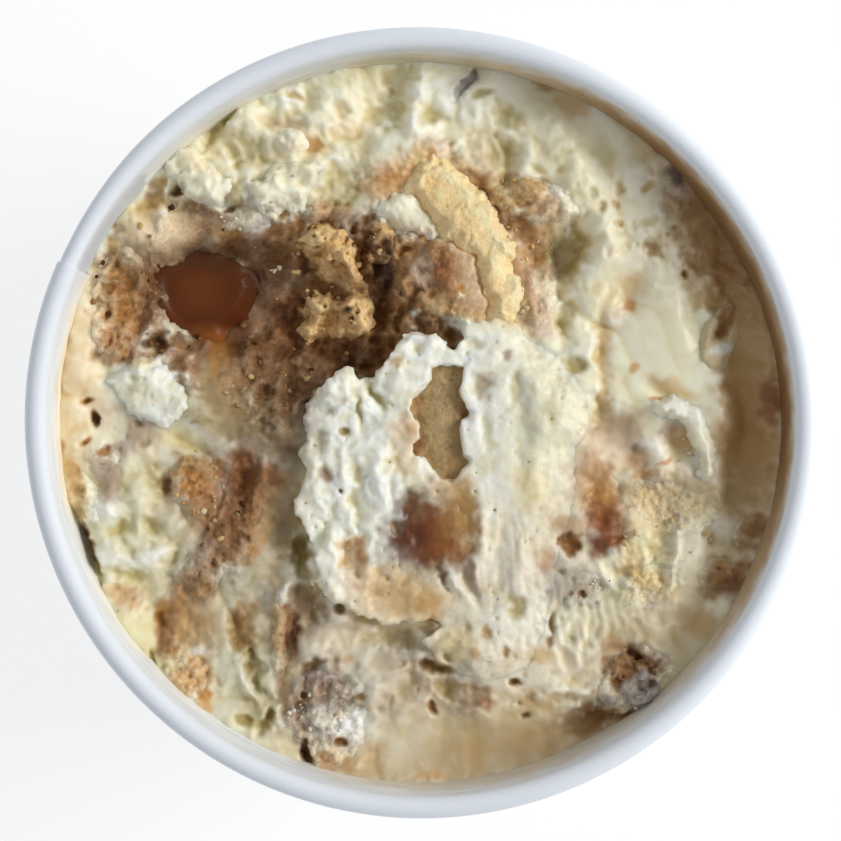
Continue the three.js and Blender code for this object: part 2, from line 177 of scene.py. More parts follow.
class Grain:
    """Seeded noise in space: smooth waves, and balls strewn one to a cell."""

    def __init__(self, seed: int) -> None:
        """Draws the tables.

        Args:
            seed: What makes this grain differ from the others.
        """
        draw = np.random.default_rng(seed)
        self.order = np.tile(draw.permutation(256), 3).astype(np.int32)
        slopes = draw.normal(size=(256, 3))
        slopes /= np.linalg.norm(slopes, axis=1)[:, None]
        self.slopes = slopes.astype(np.float32)
        self.seats = draw.random((256, 4)).astype(np.float32)

    def _pick(self, i: Array, j: Array, k: Array) -> Array:
        """Returns the table row of a cell."""
        inner = self.order[(i & 255)] + (j & 255)
        return self.order[self.order[inner] + (k & 255)]

    def wave(self, x: Array, y: Array, z: Array) -> Array:
        """Smooth noise with about one bump to a unit.

        Args:
            x, y, z: Places, in cells.

        Returns:
            Values from about -1 to 1.
        """
        x, y, z = np.broadcast_arrays(x, y, z)
        i, j, k = (np.floor(v).astype(np.int32) for v in (x, y, z))
        fx, fy, fz = (x - i).astype(np.float32), (y - j).astype(np.float32), (z - k).astype(np.float32)
        ux, uy, uz = (f * f * f * (f * (f * 6 - 15) + 10) for f in (fx, fy, fz))
        total = np.zeros(fx.shape, np.float32)
        for di, dj, dk in product((0, 1), repeat=3):
            slope = self.slopes[self._pick(i + di, j + dj, k + dk)]
            dot = slope[..., 0] * (fx - di) + slope[..., 1] * (fy - dj) + slope[..., 2] * (fz - dk)
            weight = (ux if di else 1 - ux) * (uy if dj else 1 - uy) * (uz if dk else 1 - uz)
            total += weight * dot
        return total * 1.6

    def rolling(self, x: Array, y: Array, z: Array, size: float, octaves: int = 3) -> Array:
        """Waves on waves, each half the size and strength of the last.

        Args:
            x, y, z: Places, in mm.
            size: Width of the largest wave, in mm.
            octaves: How many sizes there are.

        Returns:
            Values from about -1 to 1.
        """
        total: Array = np.zeros(1, np.float32)
        for step in range(octaves):
            scale = 2.0**step / size
            total = total + self.wave(x * scale + 7.3 * step, y * scale, z * scale) / 2.0**step
        return total / 1.5

    def balls(self, x: Array, y: Array, z: Array, low: float, high: float, flat: bool = False) -> Array:
        """How deep a point lies in balls strewn one to a cell.

        Args:
            x, y, z: Places, in cells.
            low, high: Least and greatest radius, in cells.
            flat: Whether the balls are circles in the plane.

        Returns:
            Depth in cells, negative outside.
        """
        x, y, z = np.broadcast_arrays(x, y, z)
        i, j, k = (np.floor(v).astype(np.int32) for v in (x, y, z))
        best = np.full(x.shape, -9.0, np.float32)
        for di, dj, dk in product((-1, 0, 1), (-1, 0, 1), (0,) if flat else (-1, 0, 1)):
            seat = self.seats[self._pick(i + di, j + dj, k + dk)]
            gap = (i + di + seat[..., 0] - x) ** 2 + (j + dj + seat[..., 1] - y) ** 2
            if not flat:
                gap = gap + (k + dk + seat[..., 2] - z) ** 2
            radius = low + (high - low) * seat[..., 3] ** 2
            np.maximum(best, (radius - np.sqrt(gap)).astype(np.float32), out=best)
        return best


def blurred(values: Array, cells: int) -> Array:
    """Blurs an array over all its axes with three running means.

    Args:
        values: What is blurred, on a plane or in space.
        cells: Half the width of each mean, in cells.

    Returns:
        The blurred array.
    """
    out = values.astype(np.float32)
    width = 2 * cells + 1
    for axis in range(min(values.ndim, 3)):
        if axis == 2 and values.ndim == 3 and values.shape[2] == 3:
            continue
        for _ in range(2):
            pad = [(0, 0)] * out.ndim
            pad[axis] = (cells + 1, cells)
            total = np.cumsum(np.pad(out, pad, mode="edge"), axis=axis, dtype=np.float64)
            high = np.take(total, range(width, total.shape[axis]), axis=axis)
            low = np.take(total, range(0, total.shape[axis] - width), axis=axis)
            out = ((high - low) / width).astype(np.float32)
    return out


# ---- Outlines


def inside_by(outline: Outline, x: Array, y: Array) -> Array:
    """How far points lie inside a closed outline.

    Args:
        outline: The outline's corners in order, in mm.
        x, y: The points.

    Returns:
        Distance to the outline, positive inside and negative outside.
    """
    corners = np.array(outline, np.float32)
    nearest = np.full(np.shape(x), 1e9, np.float32)
    inside = np.zeros(np.shape(x), bool)
    for (ax, ay), (bx, by) in zip(corners, np.roll(corners, -1, axis=0)):
        ex, ey = bx - ax, by - ay
        share = np.clip(((x - ax) * ex + (y - ay) * ey) / (ex * ex + ey * ey), 0, 1)
        gap = (x - ax - share * ex) ** 2 + (y - ay - share * ey) ** 2
        np.minimum(nearest, gap, out=nearest)
        if ey != 0:
            crosses = ((ay > y) != (by > y)) & (x < ex * (y - ay) / ey + ax)
            inside ^= crosses
    reach = np.sqrt(nearest)
    return np.where(inside, reach, -reach)


def hull(points: Array) -> list[tuple[float, float]]:
    """The convex outline of points on a plane.

    Args:
        points: Rows of two coordinates.

    Returns:
        The outline's corners in order.
    """
    rows = sorted(map(tuple, np.round(points, 3)))

    def half(order: Sequence[tuple[float, float]]) -> list[tuple[float, float]]:
        """Finds one side of the hull.

        Args:
            order: The points, in order along x.

        Returns:
            The hull's corners on that side.
        """
        side: list[tuple[float, float]] = []
        for p in order:
            while len(side) > 1:
                (ax, ay), (bx, by) = side[-2], side[-1]
                if (bx - ax) * (p[1] - ay) - (by - ay) * (p[0] - ax) > 0:
                    break
                side.pop()
            side.append(p)
        return side[:-1]

    return half(rows) + half(rows[::-1])


def oval_reach(x: Array, y: Array, cx: float, cy: float, long: float, wide: float, turn: float) -> Array:
    """Distance from an oval's middle, where 1 is its edge.

    Args:
        x, y: The points.
        cx, cy: Middle of the oval.
        long, wide: Half its length and half its width.
        turn: Degrees from +X to its length.

    Returns:
        The reach of each point.
    """
    c, s = math.cos(math.radians(turn)), math.sin(math.radians(turn))
    u = ((x - cx) * c + (y - cy) * s) / long
    v = ((y - cy) * c - (x - cx) * s) / wide
    return np.sqrt(u * u + v * v)


# ---- Meshes


@dataclass
class Shell:
    """A mesh on its way to Blender: corners in mm, and faces."""

    points: Array
    faces: Array

    def grown_from(self) -> Array:
        """Finds the connected bodies of the shell.

        Returns:
            A label for each corner that is the same all over one connected body.
        """
        first, second = self.faces.T.ravel(), np.roll(self.faces, -1, axis=1).T.ravel()
        label = np.arange(len(self.points))
        while True:
            least = label.copy()
            np.minimum.at(least, first, label[second])
            np.minimum.at(least, second, label[first])
            least = least[least]
            if np.array_equal(least, label):
                return label
            label = least

    def largest(self) -> "Shell":
        """Drops every connected body but the largest.

        Returns:
            The shell with that one body.
        """
        label = self.grown_from()
        names, counts = np.unique(label, return_counts=True)
        keep = label == names[np.argmax(counts)]
        index = np.cumsum(keep) - 1
        faces = self.faces[keep[self.faces[:, 0]]]
        return Shell(self.points[keep], index[faces])


def skin(field: Array, corner: Array, step: float) -> Shell:
    """Lays a skin of quads where a field on a grid changes sign.

    Args:
        field: Values on the grid, positive inside the body.
        corner: Place of the first grid point, in mm.
        step: Grid spacing, in mm.

    Returns:
        The skin, facing outwards.
    """
    field = np.pad(field, 1, constant_values=-1.0)
    nx, ny, nz = field.shape
    shifts = list(product((0, 1), repeat=3))
    blocks = {s: field[s[0]:nx - 1 + s[0], s[1]:ny - 1 + s[1], s[2]:nz - 1 + s[2]] for s in shifts}
    count = sum((b > 0).astype(np.int8) for b in blocks.values())
    active = (count > 0) & (count < 8)
    index = np.full(active.shape, -1, np.int64)
    index[active] = np.arange(active.sum())
    values = {s: b[active] for s, b in blocks.items()}
    total = np.zeros((len(values[shifts[0]]), 3))
    crossings = np.zeros(len(total))
    for a in shifts:
        for axis in range(3):
            if a[axis]:
                continue
            b = tuple(1 if i == axis else a[i] for i in range(3))
            va, vb = values[a], values[b]
            crosses = (va > 0) != (vb > 0)
            share = np.where(crosses, va / np.where(crosses, va - vb, 1.0), 0.0)
            spot = np.array(a, float)[None, :] + share[:, None] * np.eye(3)[axis]
            total += spot * crosses[:, None]
            crossings += crosses
    places = np.argwhere(active) + total / crossings[:, None]
    points = corner + (places - 1) * step
    faces = []
    solid = field > 0
    for axis in range(3):
        low = [slice(1, -1)] * 3
        high = [slice(1, -1)] * 3
        low[axis], high[axis] = slice(0, -1), slice(1, None)
        starts, ends = solid[tuple(low)], solid[tuple(high)]
        for here in (True, False):
            spots = np.argwhere((starts == here) & (ends != here))
            spots = spots + np.array([0 if i == axis else 1 for i in range(3)])
            b, c = [i for i in range(3) if i != axis]
            quad = []
            for db, dc in ((-1, -1), (0, -1), (0, 0), (-1, 0)):
                cell = spots.copy()
                cell[:, b] += db
                cell[:, c] += dc
                quad.append(index[cell[:, 0], cell[:, 1], cell[:, 2]])
            rows = np.stack(quad, axis=1)
            flip = (axis == 1) ^ (not here)
            faces.append(rows[:, ::-1] if flip else rows)
    return Shell(points, np.concatenate(faces))


# ---- The lie of the food


class Feel(Enum):
    """How a stretch of the surface feels; each is one map over the food."""

    LUMPY = "lumpy"
    TORN = "torn"
    CRUMB = "crumb"
    FINE = "fine"
    RIBBED = "ribbed"
    AIRY = "airy"
    WET = "wet"


def table(text: str) -> tuple[tuple, ...]:
    """Reads a table given as text; a comma or a line's end closes a row, and # starts a note.

    Args:
        text: Its rows of numbers, hues and feels.

    Returns:
        The rows.
    """
    names = {**Hue.__members__, **Feel.__members__}
    rows = (row.split() for line in text.splitlines() for row in line.split("#")[0].split(","))
    return tuple(tuple(names[word] if word in names else float(word) for word in row) for row in rows if row)


# Relief: middle x, y, half length, half width, turn, rise, edge (2 soft, 6 steep), in mm.
HOLLOW_RELIEF = table("""
-21 15 11.5 9.2 0 -4 2.6  # broad hollow of the syrup and the crumbs
-9.5 10 8.5 9.5 60 -2.6 2.8  # its deep side under the scoop
-26.5 15.8 6.6 6.2 0 -.9 4  # bed of the syrup
-33.2 28.2 1 2.4 -32 -1.1 3  # notch by the wall
-31.8 24.9 .8 2 18 1.3 2.6  # tongue of cream in the cavity
-29.5 25.6 3.8 1.6 -14 -1.2 2.4  # cavity above the syrup
-30.2 28.9 .9 .8 0 -1.5 4, -23.6 26.4 .9 .6 20 -1.3 3
-34.6 22.4 2.4 3.2 10 1.2 2.6  # cream shoulder left of the syrup
-42.2 8 1.8 9 0 .7 2.6  # cream smeared up the left wall
-36.5 14.8 4 6.6 4 -.8 3  # seat of the left crumb
-25 6.5 1.7 5.2 18 .9 2.4  # run of syrup and cream below the pool
-20.5 .4 8 2.6 -12 1.3 2.6  # shelf of cream under the hollow
-33 9.5 3.4 1.2 10 -1.5 3, -41.3 2.7 .75 .3 12 -1.2 3, -40.3 .5 .55 .85 20 -1.6 4,
-41.6 -2.3 .8 .4 38 -1.3 3
""")
UPPER_RELIEF = table("""
-19 33 9 6 25 1.1 2.2  # bank above the hollow
-22.3 33.8 4.2 1.9 -18 -1.3 2.6, -25.6 36 2.2 1 42 -1.1 3, -23.7 37.8 1.2 .5 50 -1 3,
-21.5 37 2.4 1.6 20 .6 2.4, -15.7 40.3 1.15 .5 -14 -.9 5, -17.2 36.7 2.4 1 -8 -.8 2.6,
-13.5 34 1.3 .9 -30 -.8 3, -10.9 28.8 2.8 2 24 -1.4 2.6, -7.6 32.6 1.8 2.8 30 -.9 2.4,
-13 31.8 3 1.1 8 .7 2.4, -9.8 38.8 1 1.2 0 -.8 3, -4.2 38.6 3 2 22 -1.6 2.8,
-2.6 42.6 1.8 1.8 -40 -1.2 3, -.4 39.6 1 4.6 -10 .9 2.2, 1.4 37.6 1.8 .8 12 -.6 2.8,
5.4 42.1 2.4 .6 52 -.8 3, 7.6 40.8 1.5 .6 4 -.7 4, 10.7 38 2.4 1.3 -50 -1.1 2.4,
12.5 36.4 3.2 .8 -34 .6 2.4, 9.6 33.2 3.6 2 -20 -1.1 2.4, 14.2 32.6 3 1.2 -8 .5 2.4,
18 33.6 1.7 4 22 .8 2.2, 21 27.6 2.2 5.4 30 1 2.2, 23.2 22 1.5 4 8 .9 2.2, 17.8 33.4 .8 .6 0 -.6 3,
22.5 33.2 1.6 2.4 20 -.8 2.4
18 20.8 2.5 4.4 -16 -2.9 3  # olive hollow beside the torn sponge
14 22.6 1.8 4.4 24 -1.8 2.6
8.8 27.4 4.2 .6 -52 -1.4 3.2  # gap along the sponge finger
17.8 13.3 1.2 2.2 -6 -1.1 2.8, 19.2 7.1 1.4 .95 -6 -1.1 3, 22.4 9.6 1.1 4.6 4 -.7 2.4,
22 1 1.5 1.8 0 -1.3 2.6, 26 15 1.4 2.4 -28 -.7 2.4
31.2 9 4.2 6.4 8 .7 2.4  # smooth swell on the right
34 12.4 1 3.6 16 -.9 2.6
""")
PITS = table("""
19.3 29.2 .35 .35 0 -.6 4, 21.3 28.4 .55 .8 20 -1 4, 22.3 26.8 .5 .85 -8 -1 4,
24.7 28.8 .6 1 14 -1.3 4.5, 24.2 27 .6 .55 0 -1.1 4.5, 28.3 29.3 .95 .5 38 -1 4,
24.5 24.4 .5 .6 0 -1.2 4.5, 26.5 24.2 .45 .5 0 -.6 4, 28.4 24.9 1.3 .7 10 -.8 3,
28.5 21.5 1.1 .95 -30 -1.7 5, 26.7 22 .25 .25 0 -.8 4, 30.5 23.4 .3 .22 20 -.8 4,
31.6 24.3 .35 .22 20 -.8 4, 32.8 18.4 .38 .6 10 -1.3 4.5, 32.6 19.6 .22 .4 0 -.8 4,
23.2 21 .4 .7 0 -.7 4, -37.2 -12.5 .75 .95 -20 -.9 4, -39.2 -11.6 .6 .6 0 -.7 4,
-31.2 -14.6 .4 .4 0 -.6 4, -35.4 -11.6 .8 .6 0 -.4 3, -36.4 3.6 .8 .9 0 -.9 3,
-35 -.3 .6 .5 20 -.9 4, -34 -2.6 .7 .5 0 -.9 4, -36.6 1.8 .6 .4 0 -.7 4,
-39.3 -3.8 .8 .55 10 -1.2 4, -33.1 -29.2 .3 1.1 14 -1 4, -34 -23 .45 .3 0 -.6 4,
-21.8 -36.8 .95 .65 -18 -1.5 5, -19.2 -37 .8 1.7 -32 -1.7 4, -21.6 -31.8 .15 .4 0 -.8 3,
-14.2 -40.6 .7 2.1 10 -2.6 4, -10 -39.6 .8 .45 10 -1.4 4, -7.4 -34 .8 .5 12 -.9 4,
-10 -23.1 .65 .5 0 -1.5 4.5, 11.8 -32.3 .65 .45 -16 -1.8 5, 12.2 -34.8 .35 .3 0 -.8 4,
13.1 -36.5 .65 .45 24 -1.2 4, 1.5 -35.3 .4 .85 30 -1.5 4.5, -.4 -33.1 .2 .25 0 -.6 4,
7.2 -33.8 1.3 1.1 0 -.7 3, 16.3 -24.9 .35 1.15 -4 -1.4 4, 15.9 -27.2 .5 .9 -8 -1 3.5,
18.2 -27 .6 .8 0 -.8 3.5, 20.1 -27.4 .35 .8 0 -.6 3.5, 3.3 -28.9 .65 .5 -38 -1.4 4.5,
5.8 -25.6 .6 .7 0 -.6 3, 8.1 -26 .5 1 14 -.6 3, 10.5 -28.4 .35 .7 0 -.7 3.5,
18.5 -15 1.25 1.15 0 -2 7, 26.7 -3.3 .4 .6 0 -.7 3, 20.1 -21.4 .5 .4 0 -1.1 4,
18.5 -21.2 .4 .4 0 -.9 4, 17.2 -18.4 .5 .35 20 -.9 4, 26.9 -32.9 .5 .6 0 -.8 3.5,
37 -18.1 .35 .25 0 -.6 4, 2.3 43.6 .2 .2 0 -.5 4, -9.3 -1.2 .75 .45 -4 -1.3 4.5,
-9.8 -8.4 .32 .32 0 -1 4, -7.6 1.6 .42 1.7 4 -1.2 3.5, -11.8 -6.4 .75 1.3 24 -1.1 3.5,
-3.3 -12.8 .55 .8 10 -1 3.5, -4.2 -19.1 .55 .4 0 -.7 4, 5.7 1 .9 .9 0 -.8 3.5,
14.9 -10.8 .3 .25 0 -.5 4, -12.7 -12 .22 .2 0 -.7 4, -11.9 -12.5 .2 .2 0 -.7 4,
-13 -12.9 .2 .2 0 -.7 4, -11.4 -11.5 .18 .2 0 -.6 4
""")
SCOOP_RELIEF = table("""
-9.6 4.2 2.6 2.4 0 .7 2.4  # upper left peak
-5.6 3.6 2.6 .5 -50 -1 3  # groove between the two lobes
-1.6 6.4 3 4.2 -34 .6 2.6  # second lobe
-.6 9.1 .9 .8 0 -.7 3, -12.4 -2.6 .9 2 0 -.7 2.4, -10 1.7 .4 1.6 -34 .45 2.4,
-12 1.2 1 .5 10 -.5 2.6, -9.4 -5.2 .6 3 4 .45 2.2, -13.1 -7 .6 2.6 10 .35 2.2,
-7.6 -9 .6 4.2 4 -.7 2.4, -5.2 -7.4 .9 4.8 2 .45 2.2, -3 -4.2 .7 3 14 -.5 2.4
-8.5 -16.2 1.7 2.1 8 -1.8 4  # round hollow with the peach bit
-10.9 -15 .7 2.6 16 .5 2.4, -6.2 -14 .7 3 -8 .4 2.4, -13 -14.6 .8 2.4 -28 -.5 2.4,
8.2 -1 .8 2.6 0 -.25 2.6, 7.6 4.4 1.7 1.3 0 -.5 2.4, 6.6 9.8 1.4 .6 -10 -.6 2.8,
10.6 8.4 .8 .8 0 -.4 2.6, 11.7 4.4 .8 2.2 -12 -.35 2.6, 12.4 -3 .9 5.4 -4 -.2 2.4,
15 4 2 4.4 0 .45 2.4, 15.8 1.2 1 1.9 0 -.3 2.4, 17.6 -6 1.2 3.6 0 .35 2.4,
14.4 -6.6 1.6 3.4 -4 .3 2.4
1 -13.6 4.6 4.2 20 -.75 2.4  # date pressed into the cream
7.4 -15 .8 5.6 -6 .4 2.4, 9.8 -16.4 .8 4.8 -8 -.3 2.4, 12 -19 1 4.6 -8 .3 2.4
11.6 -22.6 1.1 1.9 0 -.9 2.6  # olive pit
4.4 -20 .45 2.4 30 .5 2.4, 2.8 -19.4 .4 1.8 26 -.5 2.4, 6.2 -20.6 .45 2.2 24 -.5 2.4,
-3.6 -21.6 3 2.2 -10 -.35 2.4, 5.4 -28.4 2.6 1.8 -20 .5 2.4
""")
LOWER_RELIEF = table("""
-36 -13 6.2 7.5 20 .8 2.4  # bank at the lower left
-37.8 -16.6 2.4 1.5 -30 1.1 2.4, -33.4 -16.6 2.4 1.6 20 1 2.4, -38.8 -10.4 1.5 2 0 .8 2.4,
-34.6 -9.4 1.6 1.8 10 .8 2.4, -36.8 -13 1.7 1 40 -1 2.6, -33 -12.8 1.6 .9 -50 -.9 2.6,
-35.6 -19.2 2.2 1.1 -40 -.5 2.4, -30.6 -16.8 .9 2 0 -.9 2.4
-41.6 -15.4 .75 4.6 20 -2.2 3.4  # wedge gap by the wall
-31.3 -7.6 .9 2.2 20 -1 2, -32.4 -9.4 1.6 2.8 20 -.6 2.4
-22.6 -7.4 1.6 3.4 -24 -1.8 2.8  # dark side of the soaked streak
-24 -12 .6 4.6 -28 -.6 3, -27.6 -17.6 1.7 2.6 -36 .7 2.4, -29 -20.6 3.2 .7 46 -.4 3,
-32 -25.4 .6 3 -6 -.6 3, -30.6 -25.4 1.3 2 -14 .5 2.4
-18.4 -12 4.4 12 -6 -.9 2.4  # low stretch left of the scoop
-16.6 -13.4 2.6 2.6 0 -.9 2.4
-14.9 -16.6 1.1 2.1 8 -1.7 3  # deep hollow under the scoop's edge
-14 -22.4 2.2 2.4 0 -1.5 2.8
-20 -5 3 1.2 -24 .7 2.6  # bright lip of the cream shelf
-22.9 -2.8 2.6 .9 6 .6 2.6, -22 -27 .55 3.2 24 -1 2.6, -20 -31.5 .7 3.6 28 -1.1 2.6,
-21.2 -32.4 .5 4.4 24 .6 2.4, -18.2 -34.6 .5 4.2 20 .8 2.4, -16.1 -26 .7 2.6 4 -2 3,
-17.8 -25.4 .8 2.6 8 .5 2.4, -16.9 -21 .55 1.5 -24 .8 2.8, -13.2 -30.2 1.6 .7 24 -1.2 3,
-14.2 -27.6 1.4 1.6 0 .5 2.4
-3 -26.6 2.6 1.3 -8 -1.6 2.6  # grey hollow below the orange shelf
1.6 -30.1 2.4 .7 -16 -1.5 3.2  # shade under the curled lip
-9 -22.2 1.8 .7 -30 .8 2.6, -6.6 -24.4 2 .8 -20 -.8 2.6, 3 -33 1.4 1.7 20 -1 2.8,
6 -35.2 3 .7 24 .6 2.4, 8.6 -36.6 .9 1.4 0 .5 2.4, -5 -33.6 3.6 1.2 -20 .5 2.4
8 -39.4 16 4.4 0 -1.2 2.4  # smooth low part at the bottom
5.4 -41.8 .5 2.4 0 .35 2.2, -5.6 -41 .5 2.2 4 -.4 2.2, -2 -37.4 3.2 2.4 0 .5 2.4,
20.6 -37.4 4.4 2 20 -1.3 2.6, 18 -33.4 4 .6 4 .7 2.6
24.4 -1.4 3.2 3.4 0 -1 2.4  # soft pink hollow right of the scoop
28.6 -3 1.5 1.2 0 .7 2.6, 31.6 -3.2 2.2 1.5 -46 -1.3 2.8
30.4 3.6 2.6 .7 -24 -1.5 3  # gap above the fold
37.2 1.6 1.8 3.4 10 .9 2.8
39.6 8 2.6 9 6 -1.5 2.4  # trough along the right wall
36.6 23 4.2 8 32 -1.2 2.4, 40.4 -4 2.6 6.6 0 -1.4 2.4, 22.6 -11.6 2 4.6 6 -.7 2.4,
31.4 -17 .5 4 -12 .6 2.4, 33.4 -15 2 4.4 -10 .4 2.4, 36.2 -14.4 1 1.4 30 -.7 2.4,
40.6 -14 2.2 2.2 0 -.8 2.4, 37.8 -20.2 2.8 2.6 30 -.7 2.4, 28.6 -25.4 3 1.8 0 .6 2.4,
26.6 -28.6 1.3 1.2 0 -1.5 3, 23.6 -36.2 2.8 1 20 -1.2 2.6
""")

# Feel: which, middle x, y, half length, half width, turn, soft edge, amount.
FEELS = table("""
LUMPY -14 34 20 10 20 .5 1, LUMPY 12 34 16 9 -30 .5 .9, LUMPY -34 -8 10 16 20 .5 .8,
LUMPY -16 -28 14 12 0 .5 .9, LUMPY 26 2 14 20 0 .5 .5, LUMPY 8 -34 20 6 0 .5 .7,
LUMPY 30 -22 12 12 0 .5 .7, TORN -18 32 13 7 20 .5 .7, TORN -7 -6 8 17 4 .4 1, TORN 6 8 8 6 0 .5 .6,
TORN 12 -6 9 18 4 .5 .14, TORN -33 -12 9 11 20 .5 .6, TORN -18 -32 8 9 20 .5 .6,
TORN 8 37 12 5 -20 .5 .5, TORN -3 -30 12 7 0 .5 .6, TORN 15 27 6 8 -30 .5 .5,
TORN 22 -24 10 8 0 .5 .7, TORN 22 9 3 8 0 .5 .6, TORN 37 1 3 5 0 .5 .7,
RIBBED 19.5 -24.4 5.4 3.6 -4 .4 1, RIBBED 11 -18 4.4 7.5 4 .4 .6, RIBBED 5 -19 3 4 20 .5 .5,
AIRY 29 24 6.5 7.5 30 .5 .8, AIRY -36 -12 5 6.5 20 .5 .4, AIRY 8 4 5 9 0 .5 .35,
AIRY -11 -11 4 5 0 .5 .5, AIRY 19 -21 4.5 3 0 .5 1, AIRY -11 -36 5 6 0 .5 .9,
AIRY -36 -1 4 4 0 .5 .9, AIRY -38.5 -7 2.6 3.2 0 .5 1, AIRY 14 -31 9 5 0 .5 .6,
CRUMB -17 12 12 11 0 .3 1, CRUMB -37 15 4 7.5 4 .3 1, CRUMB -22 24 7 2.4 -6 .4 .8,
CRUMB -22 -9 4.6 7 -20 .4 .9, CRUMB -27 -18 3 6 -36 .4 .9, CRUMB -29 -27 3.6 6.6 20 .4 .8,
CRUMB -21.6 -25.4 1.9 3.6 10 .4 .8, CRUMB -17 -27 1.8 6 4 .4 .8, CRUMB -12 -36 4.8 5.6 0 .4 .8,
CRUMB 14 22 4 7 10 .5 .8, CRUMB 12 28 6 2.6 -20 .4 .9, CRUMB 26.5 -33 5 4.4 40 .4 .8,
CRUMB 38 -18 4 5 -30 .5 .5, CRUMB -42.4 -9 1.2 4.6 10 .4 .9, CRUMB 22.4 -12 2.6 5 0 .5 .6,
CRUMB -40 -4.4 2.6 2 0 .4 .8, FINE -3 30 5 3.4 20 .4 1, FINE 2 32.6 4 2.6 0 .4 1,
FINE 32 -9.5 6 4 -10 .4 .9, FINE 28 -18 4.6 5 0 .4 .9, FINE -27 -8 3.4 5 10 .4 .9,
FINE -28 -32 3.4 3.6 -40 .4 .8, FINE 16 10 4 8 20 .5 .4, FINE -36 -21.5 3 1.6 -20 .4 .7,
WET 30 9 6 9 8 .5 1, WET 26 17 3.4 4.4 0 .5 1, WET 38 0 6 16 0 .5 .7, WET 1 -14 6 6 0 .5 .8,
WET 8 -40 18 5 0 .4 .8, WET -25 6 3 7 16 .4 1, WET -26 18 10 9.5 0 .3 1, WET 6 17.5 2.4 5 20 .4 1,
WET 25 -2 5 4 0 .5 .6, WET -1 -23 5 3 0 .5 .8, WET 20 36 12 6 -40 .5 .5
""")

# Stains, with painted light and shade among them, laid one over another: hue, middle x, y,
# half length, half width, turn, soft edge (0 sharp, 1 wholly soft), amount.
# The tan and fawn band along the right wall is partly the cream's brown soak and partly painted shade where the
# wall shades the food.
BROAD_STAINS_AND_SHADE = table("""
BUTTER -14 39 15 6 16 .6 .8, BUTTER -31 28 8 6 45 .6 .5,
ASH 24 38 12 4 -36 .8 .5, ASH 14 41 6 3 -16 .6 .7, CREAM 30 9 7 10 8 .6 .8,
PALE 1 0 16 15 0 .5 .85, PALE -8 -8 8 14 0 .5 .8, LIME 15 0 5 9 0 .6 .6,
PALE 12 -20 6 12 0 .6 .7, LIME -36 -13 7.4 9.6 20 .4 .9, LIME -21 -31 6 9 24 .5 .7,
PEACH -43 4 3.4 14 0 .5 1, BUTTER -34 -26 4 6 40 .6 .9, BEIGE 4 -40 22 6 4 .5 .9,
CREAM -3 -38.6 5 4 0 .6 .7, BEIGE 30 -28 9 9 40 .6 .7, ASH 31 24 7 9 36 .5 .8,
TAN 39 20 6.5 14 34 .5 .9, FAWN 40.5 17 5 13 28 .5 .85, TAN 41 0 4.6 15 0 .5 1,
BEIGE 36 -14 6 9 -24 .6 .8, BLUSH 10 -14 7 8 20 .8 .35, BLUSH -4 -30 9 6 -10 .6 .6,
BLUSH 14 -30 9 4 0 .8 .45
""")
